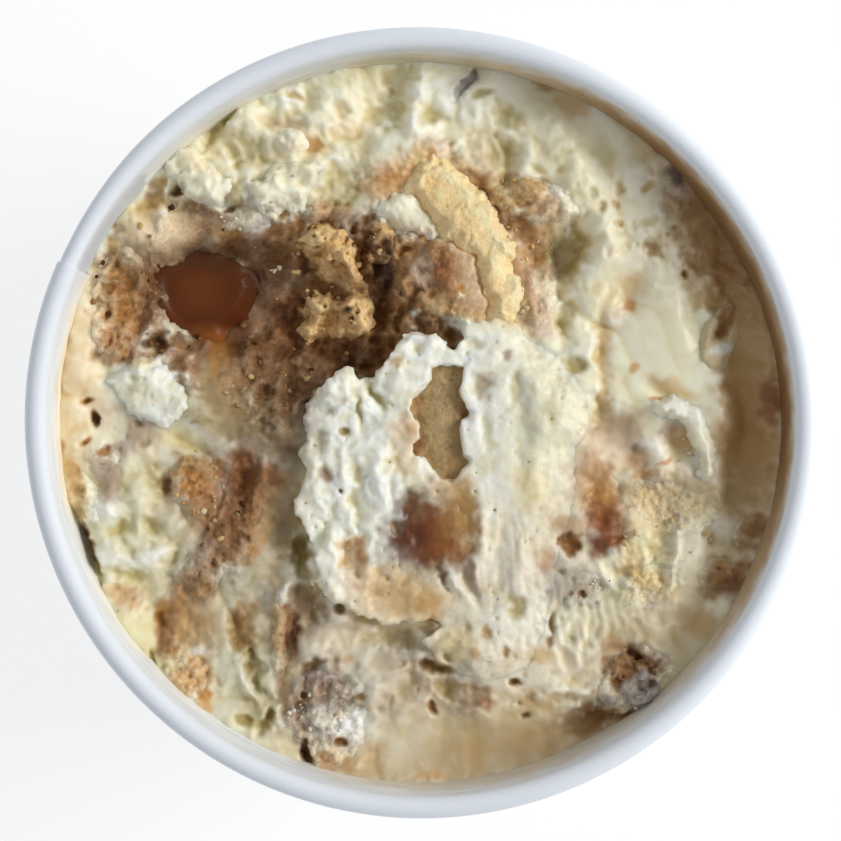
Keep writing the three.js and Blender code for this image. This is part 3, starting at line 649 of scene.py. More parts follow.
# SHADE -15 7.5 and COCOA -21.5 9 are broad painted shade over the hollow.
# The near-black spot at -8.6 13.7 is painted shade in a gap between crumbs.
# beside the scoop: MOSS, OLIVE and SHADE are painted shade on the low cream in the lee of the scoop's left edge
# kept off the scoop, which hangs over them; the darkest brown and near-black spots are painted shade in the gaps
# between crumbs and under the scoop's edge
HOLLOW_STAINS_AND_SHADE = table("""
# kept off the scoop, which hangs over them
BROWN -17.5 12 13 12 0 .25 1, BROWN -6 14 6 12 -10 .3 1, FAWN -17.5 23.2 4 1.8 0 .4 .8,
FAWN -13.4 24.6 5 2.4 20 .5 .8, ROSE -10.4 26.2 2.6 1.3 14 .5 .9,
TAUPE -17.8 16.4 2.6 1.4 16 .5 .5, COCOA -17.2 13.4 1.9 1.6 0 .5 1,
SOOT -15.9 17.4 1.2 .9 -30 .5 1, COCOA -13.8 19.6 1 1.6 20 .5 .9,
COCOA -5.2 21.4 2.6 4 6 .5 1, SOOT -4.4 18.2 1.3 2 0 .5 1,
COCOA -5.2 14.4 1.8 3.6 0 .5 .9, COCOA -15.6 9.2 2.4 1.4 20 .5 .9,
SOOT -17.6 8.4 .9 .8 0 .4 1, COCOA -9 8.4 3.6 2 0 .5 .9,
TAUPE -20.4 12.6 1.8 2.2 30 .5 .9, TAUPE -20.2 5.8 4.4 2.8 -10 .4 .95,
ROSE -22.4 4.4 2 1.6 0 .5 .8, TAUPE -16.4 2.6 3.6 1.8 -14 .5 .9,
FAWN -17.4 1.6 4 1.8 0 .5 .7, TAUPE -14.2 6.6 1.8 1.4 10 .5 .7,
MAUVE -20.6 23 1.2 2.6 8 .4 .9, WHITE -20.4 24.4 1.4 1.2 0 .4 .9,
ASH -21.4 26.4 2 1.4 0 .4 .9
# beside the scoop
MOSS -17.4 -13.6 3 2.8 0 .6 .8, BEIGE -16.8 -8.4 1.8 3 0 .6 .9,
OLIVE -14.9 -16.8 1.2 2.3 8 .7 .8, SHADE -17.4 -1.4 4 5 0 .9 .65,
SHADE -17.6 -14 4 10 0 .9 .55, SHADE -13.4 -23.6 3.6 3 0 .9 .4
# golden crumbs
GOLD -12.6 22.4 2.3 1.9 -20 .15 1, GOLD -9.6 20.4 1.8 1.5 -30 .15 1,
TAN -11.2 18.6 2.9 1.2 -36 .25 1, TAN -8.2 16.2 2.2 1 -50 .25 .9,
STRAW -12.8 14.4 1.8 1.8 0 .15 1, GOLD -12.4 12 2.4 1.6 20 .2 1,
STRAW -7.3 14 1.1 2.2 -6 .2 1, GOLD -8.6 11.6 1.8 1.3 0 .2 1, FAWN -10 13.4 1 1.6 0 .4 1,
SOOT -8.6 13.7 .7 .5 0 .3 1, TAN -4.6 24 1.3 .9 -14 .2 1, ROSE -1.5 12.4 1.1 1.4 10 .2 1
# the mid sponge, smeared with cream
FAWN 1 18.2 4.6 6 10 .2 1, RUST 3 18.4 1.7 1.9 0 .8 .8, MAUVE .2 19 1.3 2.4 10 .5 .85,
FAWN -2 20.4 1.5 2.2 10 .4 .9, TAN 1.6 14.6 1.5 1.6 0 .4 .9, GOLD 3.4 13.6 1.1 .9 0 .4 .9,
COCOA .9 11.9 1.8 .6 -34 .4 1, COCOA 3.8 9.8 .7 1 10 .4 .9,
ROSE 6 19.6 1.5 3.2 18 .2 1, ROSE 7 16 1.7 3 4 .2 1, TAN 6.4 13.9 2 1.1 10 .4 .9,
ROSE 6.6 17.6 2.4 4.8 12 .5 1, BLUSH 6.9 18 1.8 4.2 12 .8 .45,
ORANGE 5.1 16.3 .5 .6 0 .3 1, BROWN 1.6 11.6 4 2 -30 .5 1, SHADE -15 7.5 6.5 3.6 20 .9 .45,
COCOA -21.5 9 6 3.6 0 .9 .3, RUST -16 12 11 8 0 .9 .18, BROWN -8.2 24.4 2.6 2.2 0 .7 .75,
FAWN -8 16.6 1.8 1.6 0 .7 .6, TAUPE -17.4 17.2 2.6 2 16 .7 .6
""")
# SHADE in the two grooves below the date is painted shade, and PALE on the ridge between them a painted highlight.
# bank at the lower left; MOSS in its folds is painted shade, PALE on its mounds painted light
# bottom; FAWN and BROWN in its pits are painted shade
# broad layers: painted shade under and left of the scoop and over the lower left (SHADE, BROWN), broad darkening
# elsewhere (TAUPE, FAWN), painted light lifting the cream at the top, by the left wall and on the lower-left bank
# (PALE, CREAM, PEACH), and warmer colour for the date, the orange shelf and the soaked sponge
# brown stroke left of the grey clump; COCOA in its crack is painted shade, PALE on the ridge above a painted
# highlight
# cavity above the syrup; the browns and SHADE are painted shade in the cavity and under the cream's ledge
# date on the right and the square pit; BROWN along the pit's top edge and in the two small pits below is painted
# shade
# grey clump, bottom left; COCOA in the gap at its foot, BROWN in its pit and SHADE in the pit above it are painted
# shade
# grey clump, lower right; BROWN along its foot at 26 -36.2 is painted shade under it
# left crumb and the pinkish crumb under it; COCOA at -33.6 9.9 is painted shade in the slit below
# left edge, below the cream lump; FAWN and BROWN in the pits and in the wedge gap by the wall, and BROWN, TAUPE and
# COCOA along y 21 to 25 under the cream's ledge above the syrup, are painted shade
# left middle sponge; BROWN and MOSS in the hollow on its left are painted shade
# long soaked streak; COCOA and the narrow BROWN along its dark side are painted shade in the groove there
# orange shelf below the date; SHADE, KHAKI and ASH in the grey hollow below its edge, FAWN under the curled lip,
# and the colours in its pits are painted shade
# orange stain and crumbs above the sponge finger; BROWN 8.4 27.4 in the gap along the finger and OLIVE 18 20.6 in
# the olive hollow are painted shade
# painted shade in the pits of the aerated cream
# pinkish cream and the fold; TAN and GOLD at 33 -2.5 are painted shade inside the fold
# porous strip and ridges between; OLIVE in its grooves and pits, and MOSS round the pits at its foot, are painted
# shade
# scoop; MOSS, OLIVE, ASH and LIME in its grooves and hollows, and BROWN in its pit, are painted shade
# smooth cream on the right; OLIVE 19.2 7 and MOSS 17.8 13.3 are painted shade in its hollows
# upper cream; MOSS and OLIVE in its hollows, and BROWN under the lumps at -30 28.8 and -23.6 26.4, are painted
# shade
STAINS_LIGHT_AND_SHADE = table("""
TAN 8.6 32.2 3 2.2 -30 .8 .7, MOSS 16 39.4 3.4 2.2 -16 .8 .7, CREAM -16 40 3.2 2.2 16 .8 .7
# orange stain and crumbs above the sponge finger
PEAR -3.2 30.4 4.4 2.8 24 .5 1, ORANGE -3.6 30 2.6 1.6 30 .9 .6,
PEAR -6.2 28.6 1.6 1 -20 .6 .8, TAN 1 34 2.6 1.4 20 .5 .8, STRAW .6 32.2 2.2 1.6 0 .6 .9,
ORANGE 1.5 33.2 1.1 .8 40 .6 .9, BLUSH 2.8 33.4 .9 1.8 24 .4 .9,
STRAW 5.2 31.4 1.8 1.2 -34 .5 .8, BROWN 8.4 27.4 5 .9 -50 .4 1,
FAWN 6.4 30.2 1.6 1 -30 .6 .8, TAN 11.6 28.4 4.6 2.2 -24 .35 1,
ROSE 15.4 26.6 2.6 1.4 -10 .4 .9, FAWN 13.6 28.8 1.8 .8 -10 .8 .4,
CAKE 10 28.9 1.8 .7 -30 .5 .8, FAWN 13 23.8 2.6 1.6 -40 .4 1,
FAWN 14.2 21.6 2 2.8 10 .4 1, ROSE 12.6 18.6 1.5 4.4 12 .35 1,
ROSE 14.2 13.6 2.4 3.4 20 .5 .9, TAN 12.8 14.2 1 2.4 14 .5 .8,
BLUSH 15.6 11.4 1.8 1.8 0 .6 .8, OLIVE 18 20.6 2.4 4.2 -16 .7 .8,
FAWN 16 18.4 1.2 2.4 -24 .6 .8, TAN 15.8 24 1.8 1.4 0 .6 .8, BROWN 19.3 21.6 .25 .2 0 .4 1
# upper cream
STRAW -15.7 40.3 1.3 .6 -14 .3 1, MOSS -23.4 34.6 4.2 1.8 -22 .5 .7,
MOSS -20 33 3 1.4 0 .6 .6, OLIVE -24.6 37 1.8 .6 46 .5 .7, OLIVE -22.8 28.2 1.4 1.3 0 .5 .8,
BROWN -30 28.8 .9 .8 0 .4 1, BROWN -23.6 26.4 .9 .5 20 .4 1, TAN -17.3 36.8 2 1.1 -10 .6 .9,
PEAR -14.8 35.6 1.3 1.1 0 .6 .8, ORANGE -13.2 34.1 1.1 .9 -30 .5 .8,
PEACH -10.4 36.4 3.4 1.6 0 .6 .8, MOSS -10.8 28.6 2.6 2 20 .6 .7,
MOSS -7.6 32.4 1.6 2.6 30 .6 .6, STRAW -9.6 38.9 1 1.2 0 .6 .6,
MOSS -4.2 38.4 3 2.1 22 .8 .5, MOSS -2.6 42.6 1.6 1.8 -30 .8 .5,
MOSS 1.4 37.5 2 .9 12 .5 .7, MAUVE 5.8 42.2 3 1.4 50 .6 .6,
COCOA 5.5 42.2 2.4 .75 54 .3 1, MOSS 7.6 40.8 1.4 .6 4 .3 .9,
MOSS 10.6 37.8 2 1.4 -50 .6 .7, MOSS 9.6 33.2 3.4 2 -20 .8 .6,
FAWN 15.4 41.9 1.3 1 -20 .6 .8, TAN 18.4 39.6 2.4 1.4 -24 .7 .9,
MOSS 22.6 33.4 1.6 2.2 20 .8 .4, BUTTER 20.4 28 2.4 6 30 .6 .7,
TAN 25 38 3 1 -36 .6 .8, TAN 28 33.6 3 1.6 -48 .6 .7, FAWN 33.6 27.6 3 2.6 -40 .6 .8,
MAUVE 31.4 30 2.4 2 -30 .6 .9, COCOA 31.9 30.8 1.6 1.1 -30 .5 1
# pits of the aerated cream
OLIVE 22.3 26.7 .6 .9 -8 .4 .7, MOSS 21.3 28.4 .7 .8 20 .4 .8, TAN 24.7 28.8 .7 1 14 .4 .8,
ROSE 24.2 27 .6 .6 0 .4 .8, TAN 28.3 29.3 1 .5 38 .4 .8, TAN 24.5 24.4 .5 .6 0 .4 .9,
FAWN 28.6 21.3 1.1 .9 -30 .3 .9, MOSS 28.4 25 1.5 .8 10 .5 .8,
FAWN 32.8 18.4 .4 .6 0 .4 .9
# smooth cream on the right
TAN 25.6 16.6 1.8 2.8 -24 .7 .9, ORANGE 26 14.5 .9 .8 20 .5 .9,
BUTTER 22.6 15.6 3 2.6 0 .6 .7, OLIVE 19.2 7 1.4 1 -6 .5 .6,
MOSS 17.8 13.3 1.3 2 0 .6 .8, STRAW 22.6 9 1.1 4.4 0 .6 .7,
PEAR 26.3 6.8 .7 .7 0 .4 .9, TAN 22.6 2.6 1 1.8 0 .5 .8, LIME 31.6 10.4 2.6 5 6 .6 .7,
STRAW 31 4.6 3.2 .9 -20 .6 .8, ORANGE 29.4 3 1.3 .3 10 .5 .9, TAN 35.2 15.6 1.8 1.4 30 .6 .8
# right wall side
RUST 43.2 3 1.2 3.4 8 .5 .9, ORANGE 40.6 -2 2.2 3 0 .9 .35, OLIVE 38.4 -9.2 2.8 1.5 0 .9 .5,
FAWN 41.8 -13.6 2.2 2 0 .5 1, BROWN 42 -13.2 1.4 1.2 0 .8 .6,
FAWN 38.2 -19.2 2.8 3 -30 .6 1, BROWN 38.4 -20.2 1.6 1.6 0 .8 .7,
TAN 34.8 -25 2.6 1.8 -40 .7 .8, CREAM 33.6 -14.6 2.2 4.6 -10 .6 .7, WHITE 37 -13 1.4 1.4 0 .6 .6
# pinkish cream and the fold
BLUSH 24.4 -2.6 4 4 0 .5 1, MAUVE 24.8 -.6 3 2.2 0 .7 .7, WHITE 28.6 -2.8 1.4 1.2 -20 .5 .9,
ROSE 26.6 -4.6 1.4 1.6 0 .6 .8, MAUVE 26.7 -3.2 .6 .5 0 .5 .8, MAUVE 31 -1 1.8 1.6 -40 .6 .8,
TAN 32.6 -2.4 1.7 1.2 -40 .6 .9, GOLD 33.3 -2.6 .9 .6 0 .5 .8, ORANGE 27.8 -6.5 2.2 .5 16 .4 .9,
ORANGE 30.2 -4.9 1.2 .35 20 .4 .8, BEIGE 30.6 -9 5.4 3 -6 .4 .9,
MOSS 33.4 -9.2 4 2.6 -8 .6 .9, CAKE 27.6 -12.6 3 4 -20 .5 .9,
BUTTER 27.8 -16 2.8 3 0 .5 .9, STRAW 28 -19.4 3.2 1.4 -32 .7 .8,
GOLD 25.9 -18.3 1.5 .7 -16 .7 .7, MOSS 25 -21.6 1.6 2 0 .6 .8,
CAKE 30.6 -21 1.8 1.4 0 .6 .8, MOSS 30.6 -13.4 .7 2.4 -8 .5 .8
# date on the right and the square pit
ROSE 20.6 -7.6 2.4 4.4 0 .6 .9, ROSE 23 -8 2 2.6 10 .6 .9, ORANGE 22.6 -9.6 2.2 3 10 .8 .9,
RUST 22.7 -12.6 2.5 2.9 0 .6 1, RUST 23 -15.3 2.8 1.2 14 .5 1,
WINE 21.8 -15.4 1.4 1.6 30 .8 .6, MAUVE 21.4 -14 .8 .5 0 .4 .8,
ROSE 18.6 -12.8 2.4 1.2 0 .6 .8, FAWN 18.5 -15 1.4 1.3 0 .15 1,
BROWN 18.2 -14.2 1 .5 0 .4 .8, ROSE 15.6 -17 1 1.6 16 .6 .8,
STONE 18.9 -20 3.4 2.4 -14 .8 .8, BROWN 20.1 -21.4 .6 .45 0 .4 .8,
BROWN 18.5 -21.2 .45 .4 0 .4 .7, MAUVE 16 -21.4 .8 .8 0 .6 .6
# scoop
MOSS -7.6 1.6 .45 1.8 4 .4 .9, MOSS -5.6 3.6 2.4 .5 -50 .6 .8,
OLIVE -9.3 -1.2 .75 .45 0 .4 .8, ASH -12.4 -2.6 .9 2 0 .6 .7,
MAUVE -11.8 -6.4 .8 1.3 24 .5 .9, MOSS -7.6 -7 .6 2.4 4 .7 .6,
BROWN -9.8 -8.4 .32 .32 0 .4 .8, TAN -3 7.3 .9 .8 20 .6 .7, BLUSH -2 -1.4 2.2 2.4 20 .6 .9,
ROSE -.9 -.8 .7 1.1 10 .5 .9, PEACH -1.8 -5.4 1.6 2.4 30 .6 .8,
MAUVE 7.9 4.6 1.6 1.6 0 .6 .6, MAUVE 10.7 8.3 .7 .7 0 .6 .8, PEACH 11 12.4 2 .9 -10 .5 .9,
PEAR 11.4 12.6 .6 .4 0 .5 .8, MOSS 11.7 4.4 .5 2 -12 .7 .6,
MOSS 15.8 1.2 .8 1.8 0 .7 .7, LIME 8.6 -1 .8 2.6 0 .7 .7,
BUTTER 13.6 -7.4 2.2 3.2 0 .7 .7, PEACH -8.6 -14.6 2 .8 0 .6 .8,
PEAR -8.4 -16.3 1.7 2.1 8 .6 .8, ORANGE -7.3 -16.4 .5 1.6 0 .8 .6,
BLUSH -6.6 -19.2 3.6 1.8 -10 .6 .9, ORANGE -4.2 -19.1 .6 .45 0 .4 1
# date in the scoop
TAN 3.2 -8.4 3 2.2 0 .6 .7, TAN 5.6 -11.4 1.9 4.2 6 .6 1, FAWN 3.4 -12.6 3 3.2 0 .8 .9,
RUST .4 -14 3.6 3.4 -20 .4 1, WINE -.6 -14.4 3.4 3.6 -10 .9 1,
WINE -1.6 -11.4 1.6 2.4 -10 .9 .8, RUST 3.6 -15.8 2.6 1.6 -30 .6 .9,
BROWN -.8 -10.2 1.2 2.2 -8 .6 .9, ROSE 0 -11.6 .9 .8 0 .8 .3, MAUVE -3.2 -12.8 .8 1.1 10 .5 .9,
SHADE 6.4 -18.6 .8 2.6 14 .6 .8, SHADE 2.6 -18.6 .6 1.6 24 .6 .8,
PALE 4.2 -19.4 .5 2.2 28 .5 .8
# orange shelf below the date
PEAR -3 -21.4 4.4 2.8 -6 .9 .75, ORANGE .6 -22 1.5 1.2 -10 .9 .8,
ORANGE 1.4 -24.2 1.1 .8 0 .9 .7, PEACH -3.6 -18.6 2.4 1.2 0 .6 .7,
SHADE -3 -26.6 2.6 1.2 -8 .8 .55, ASH -4.6 -27.4 4.4 2.6 0 .6 .8,
KHAKI 1 -25.8 .9 .7 0 .5 .9, FAWN 1.5 -30.2 1.9 .5 -16 .6 .8,
BUTTER 4.4 -27.4 2.4 2 -20 .5 1, PEAR 6.5 -28.4 .8 .7 0 .6 .8,
MOSS 11.5 -22.6 1.1 1.8 0 .5 1, MOSS 6 -25.4 .7 .8 0 .5 .7,
TAN 8.1 -26.1 .6 1 10 .5 .8, ROSE 10.5 -28.4 .5 .9 0 .5 .9,
FAWN 16.3 -24.8 .4 1.2 -4 .7 .7, FAWN 15.9 -27.3 .5 .9 -8 .5 .9,
ASH 18.2 -27 .6 .8 0 .5 .8, STRAW 14.8 -29 1.6 1 0 .6 .7, TAN 24 -27.4 1.4 1 30 .5 .7
# bottom
FAWN 11.8 -32.3 .7 .5 -16 .4 1, BROWN 13.1 -36.5 .7 .5 24 .4 .9,
FAWN 1.5 -35.3 .5 .9 30 .4 1, TAUPE 6.6 -34 2.4 1.6 0 .6 .8,
FAWN 8.2 -34.6 1 .8 0 .5 1, BEIGE 3 -33.2 1.8 1.6 0 .6 .8, TAN 14 -35 2.4 1.8 0 .6 .7,
TAUPE 20.8 -37.2 4.2 2.4 20 .6 1, FAWN 22 -36.6 2.6 1.6 24 .8 .7, TAN 15 -39.6 5 2.4 6 .7 .7,
PEAR 1.5 -44 2.2 .6 0 .4 .9, TAN -5.6 -41.4 1.6 2.2 0 .6 .7, TAN 6.4 -41.6 1.2 2.4 0 .6 .6
# grey clump, lower right
FAWN 26 -30.6 3.6 3.6 0 .5 1, BROWN 27 -28.8 2.4 1.2 -20 .5 1,
STONE 26.8 -33 2.6 2.2 20 .35 1, STONE 23.4 -34.4 1.4 .9 0 .5 .9,
MAUVE 29.6 -29.2 1.2 .9 -50 .5 .8, BROWN 24.8 -30.8 1.2 2 -30 .6 .8, BROWN 26 -36.2 2.2 .6 24 .5 .9
# grey clump, bottom left
STONE -11.8 -35.2 5 5.4 10 .4 .95, MAUVE -15.6 -36.4 1.4 3.4 6 .5 .9,
TAUPE -12.4 -33.2 3.6 1.4 10 .6 .6, PALE -9 -37.2 2.6 2 10 .5 .9, WHITE -6.4 -37.4 .8 1 10 .4 .9,
ASH -13 -36.8 2 1.6 20 .6 .7, COCOA -14.2 -40.5 .7 2 10 .4 1,
BROWN -10 -39.6 .9 .5 10 .4 1, ROSE -11.6 -41.8 1.8 1.3 -10 .5 1, TAN -8.6 -42.4 1.4 1 0 .5 1,
TAN -7.4 -34 .9 .6 12 .5 .9, PEAR -9 -29.2 .7 .5 0 .5 .9, ROSE -10.3 -30.4 .4 .8 0 .5 .7,
TAUPE -13.4 -30.4 1.8 .7 24 .5 .9, TAUPE -14.4 -22.4 2 2.4 0 .6 .8, MAUVE -8.6 -25 1.3 .8 0 .6 .8,
SHADE -10 -23.1 .7 .5 0 .5 .8
# brown stroke left of the grey clump
TAN -17.4 -26 1.4 4.6 6 .4 1, RUST -16.3 -25.6 .8 2.6 4 .4 1,
COCOA -16.1 -26.2 .5 1.2 0 .8 .5, TAUPE -17 -32.4 .9 3 2 .5 .9,
PALE -16.9 -21.2 .6 1.4 -24 .5 .8
# porous strip and ridges between
TAN -21.8 -25.2 1.7 3.6 8 .45 .9, FAWN -22.2 -23.8 .7 1.5 6 .6 .9,
OLIVE -22 -29 .6 2.6 30 .6 .7, MOSS -20.2 -35.6 1.8 2.6 30 .6 .8,
OLIVE -21.9 -36.8 1 .7 -18 .4 .8, OLIVE -19.2 -37.2 .8 1.6 -32 .5 .8,
MOSS -19.6 -18.6 2.6 1.8 0 .6 .6
# long soaked streak
TAN -20 -11.2 2.4 5.6 -20 .4 1, FAWN -21.4 -9.4 2.2 4.4 -24 .4 1,
FAWN -24.6 -14.4 2.9 5.6 -34 .4 1, TAUPE -27 -16.8 1.8 3.4 -36 .6 .8,
ORANGE -20.6 -16 1.2 .8 0 .6 .8, STRAW -19 -13 1.2 2.4 -20 .7 .6,
FAWN -28.2 -20.4 3.4 2.4 34 .5 1, TAN -28.4 -24.6 3.4 4 0 .7 1,
FAWN -31.4 -24.8 1.4 4.6 -6 .6 1, ORANGE -32 -24.2 .6 3.6 -8 .6 .7,
FAWN -31 -27.6 1.4 .8 -20 .4 .9, TAUPE -30.9 -25.2 1 1.9 -12 .4 .9,
RUST -22.4 -6.2 2 3 -16 .5 1, COCOA -23.6 -7.8 .6 1.6 -10 .5 .8,
FAWN -19.4 -6.4 2.4 1.4 -14 .5 .9, BROWN -24.4 -12 .7 4.4 -28 .8 .7
# sponge by the wall, low on the left
PEAR -28.4 -31.6 2.2 3.4 -46 .45 1, PEAR -26.8 -34.6 1.1 1.8 10 .4 1,
ORANGE -26.7 -33.8 .9 .9 0 .5 .9, WHITE -27.2 -28.4 1.3 .5 10 .5 .9,
OLIVE -33.1 -29.2 .3 1.1 14 .5 .8
# bank at the lower left
MOSS -36.8 -13 1.8 1.1 40 .8 .6, MOSS -33 -12.8 1.7 1 -50 .8 .6,
MOSS -35.6 -19.2 2.2 1.2 -40 .8 .4, MOSS -30.6 -16.8 1 2 0 .7 .8,
PALE -37.8 -16.6 2.4 1.4 -30 .8 .9, PALE -33.4 -16.6 2.2 1.4 20 .8 .9,
PALE -38.6 -10.4 1.4 1.8 0 .8 .8
# peach stain
PEAR -37 -21.4 2.8 1 -24 .6 .8, ROSE -35.4 -21.4 1.4 .9 0 .6 .6,
FAWN -37.4 -23.2 .4 .2 0 .4 .9
# left middle sponge
TAN -28 -5.6 2.9 2.2 0 .35 1, ROSE -26.8 -9.6 2.6 3.6 10 .35 1,
ORANGE -27.4 -8.4 1.6 2.2 10 .7 .5, BLUSH -27.9 -13.4 .9 1.5 10 .5 1,
BROWN -31.4 -8 .7 2 18 .5 1, MOSS -32.8 -7 1 2.4 20 .6 .8,
BUTTER -29.4 -2.2 3 1.4 -16 .6 .8
# cream shelf and the run of syrup
MOSS -22.4 .2 6.8 2.4 -12 .4 1, BEIGE -25.6 4.2 2.4 4 16 .5 1,
CREAM -22.6 -2.8 2.6 .8 4 .5 .8, ASH -18.8 -4 1.9 1.5 -14 .5 .8, OLIVE -27.6 0 1 .3 0 .5 .8
# left crumb and the pinkish crumb under it
FAWN -37 15.2 3.8 7 4 .3 1, TAN -36 19.6 2.8 2.4 0 .6 .7, BROWN -37 16.8 2 2.2 0 .7 .6,
ROSE -37.4 10.2 1.6 2.2 10 .4 .8, ROSE -32.8 13 1 1.6 20 .4 .9,
STRAW -37.6 21.8 1.2 .9 -10 .4 1, FAWN -36.6 8.6 3.8 1 4 .5 .8,
PEACH -34.6 22.6 2.2 2.8 10 .4 1, TAUPE -30 9 2.4 1.8 -20 .4 1,
ROSE -28.6 8 1.4 2.6 14 .5 .8, BROWN -30.8 7.2 1.2 1 0 .5 .9, COCOA -33.6 9.9 2 .5 8 .5 .9
# cavity above the syrup
BEIGE -29.6 26.6 2.6 1.6 -10 .5 .9, TAN -33.2 27.4 1.2 2.4 -30 .4 .9,
MAUVE -33.7 28.6 .6 1.6 -32 .5 .9, BROWN -26.4 26 3.6 1 -12 .5 .9, TAN -27 24.6 3.4 .8 -10 .4 .9,
GOLD -24.8 23.6 2.6 .9 -6 .4 .9, BROWN -29.8 22.4 2.6 1.6 30 .5 .9,
SHADE -23.2 22 3.4 .8 0 .5 .9, PEACH -31.7 24.9 .7 1.9 18 .4 .9
# left edge, below the cream lump
BLUSH -39.4 1.4 1.8 2 0 .6 .9, MAUVE -35 -1 2.4 2.4 0 .6 .85, MAUVE -38.6 -7 2 2.8 10 .5 .9,
FAWN -39.3 -3.8 1 .7 10 .5 1, MAUVE -37.2 -3.4 1.2 1 0 .6 .8,
ORANGE -44.6 -3.6 .7 1.3 0 .5 .8, STRAW -42.6 -8.4 1.2 4.2 12 .4 .9,
GOLD -42.8 -7 .8 2 12 .6 .8, BROWN -40.9 -15 .6 3.6 20 .4 1, TAN -43.2 10.4 .5 .6 0 .5 .8,
GOLD -41.3 2.7 .75 .3 12 .4 .9, BROWN -40.3 .5 .5 .8 20 .4 .9, BROWN -27 22.2 7.6 2.4 0 .8 .85,
TAUPE -28.4 24.8 4.4 1.2 4 .7 .75, COCOA -27 20.9 6.6 1.5 0 .9 .85,
RUST -26.2 9.6 1.7 1.8 20 .9 .8, ORANGE -25.2 6.8 1.2 3.2 16 .9 .75,
TAN -23.6 3 1.8 2.8 16 .9 .7, BROWN -33.6 16.4 1.8 5.4 0 .7 1, BROWN -31.6 20.4 2.2 1.3 30 .9 .7,
COCOA -19.6 17.4 1.6 4 0 .9 .7
# broad shade over the lower left and under the scoop
SHADE -24 -14 6.5 14 -16 .9 .45, SHADE -17 -29 6 8 0 .9 .35, BROWN -22 5 7 7 0 .9 .4,
BROWN -33.6 15 5 8 0 .9 .45, TAUPE 32 -8 6 5 0 .9 .4, SHADE -24 -7 5 5 0 .9 .3,
SHADE -17.6 0 4.6 4.4 0 .9 .75, TAUPE 17 -15 5 6 0 .9 .2, TAUPE 4 -41 16 4 0 .9 .3,
PALE 1 40 8 5 0 .9 .5, PALE -16 39.5 7 4 10 .9 .6, CREAM -32 -16 5 3 0 .9 .4,
SHADE 0 -17 5 4 0 .9 .3, TAUPE -15 -24 5 4 0 .9 .3, TAUPE 26 14 4 4 0 .9 .2,
CREAM 24 28 6 9 30 .9 .5, PEACH -42 16 3 7 0 .7 .7, SHADE 0 -31 9 5 0 .9 .4,
TAUPE 6 -22 12 5 0 .9 .2, FAWN 41 -2 4 13 0 .8 .5, CREAM 17.4 15.4 2.4 3 0 .7 .7,
ORANGE 3.4 -13.4 2.6 3 0 .8 .4, RUST 2.2 -15 2.2 2.4 0 .8 .6,
CARAMEL -.6 -13.8 2.8 3.2 -10 .9 .8, STRAW -1.6 -21.4 5 2.2 -8 .8 .6,
GOLD .6 -22.4 1.5 1.1 0 .7 .7, PEACH -31.6 24 3 2.6 0 .7 .6,
PEACH -40.8 16.4 2.2 4.2 0 .7 .7, ASH -7.6 -31.6 2.6 2.2 0 .8 .7,
RUST -24.5 -9 7 6 0 .9 .35, ORANGE -28.4 -7.6 2.6 2.8 0 .8 .4,
ORANGE -30.4 -24.6 1.6 4 0 .8 .4, ORANGE -37.6 13.6 2.6 5 0 .8 .3
""")

# Outlines of the scoop and of the hole in it from above, in mm: corners in order.
SCOOP_OUTLINE = table("""
-.5 11.2, 1.5 11, 3.1 10.4, 3.3 9.3, 4.1 8.8, 4.9 10.4, 5.2 12.5, 8 13.1, 10.5 13.2, 12.5 12.1,
13.1 10.4, 15.5 9.2, 17.5 8.6, 18.6 6, 20.2 4.6, 21 1, 21.1 -1.6, 19.3 -3.2, 19.2 -8.5, 18.6 -12,
17.2 -16, 16.5 -21, 15.5 -26, 13.5 -30.5, 9 -32.2, 5.5 -31.6, 3.2 -30.1, 1.4 -28.6, .2 -27.1,
1 -26.4, 2.6 -25.2, 2 -24.6, -1 -24.9, -5 -24.6, -8 -23.6, -10.5 -22.6, -12 -21.2, -14.4 -19.4,
-12.8 -18.7, -13 -17.2, -13.4 -15, -14.6 -12.8, -16.3 -10.6, -16 -9.6, -14.8 -8.6, -14.3 -6, -15 -4,
-14.2 -2.3, -14.3 -.6, -14.8 .7, -13.6 2.9, -12 4.6, -10.6 6.4, -9 7.1, -7.6 5.8, -6.2 5.7, -5 6.6,
-4 8.4, -2.6 10.2
""")
WINDOW_OUTLINE = table("""
1.2 6.8, 3.5 7.2, 5.3 7.1, 5.2 5, 5 3.5, 6.3 1.5, 5.8 .3, 5 0, 5.3 -2, 6 -5, 4.5 -7, 3 -7, 2 -6.3,
.3 -4.7, -1.2 -3.7, -1.5 -2.4, -.3 -1.8, -.2 -.3, -1.5 1.5, -1.2 2.8, 0 4.5, 1.3 5.3
""")

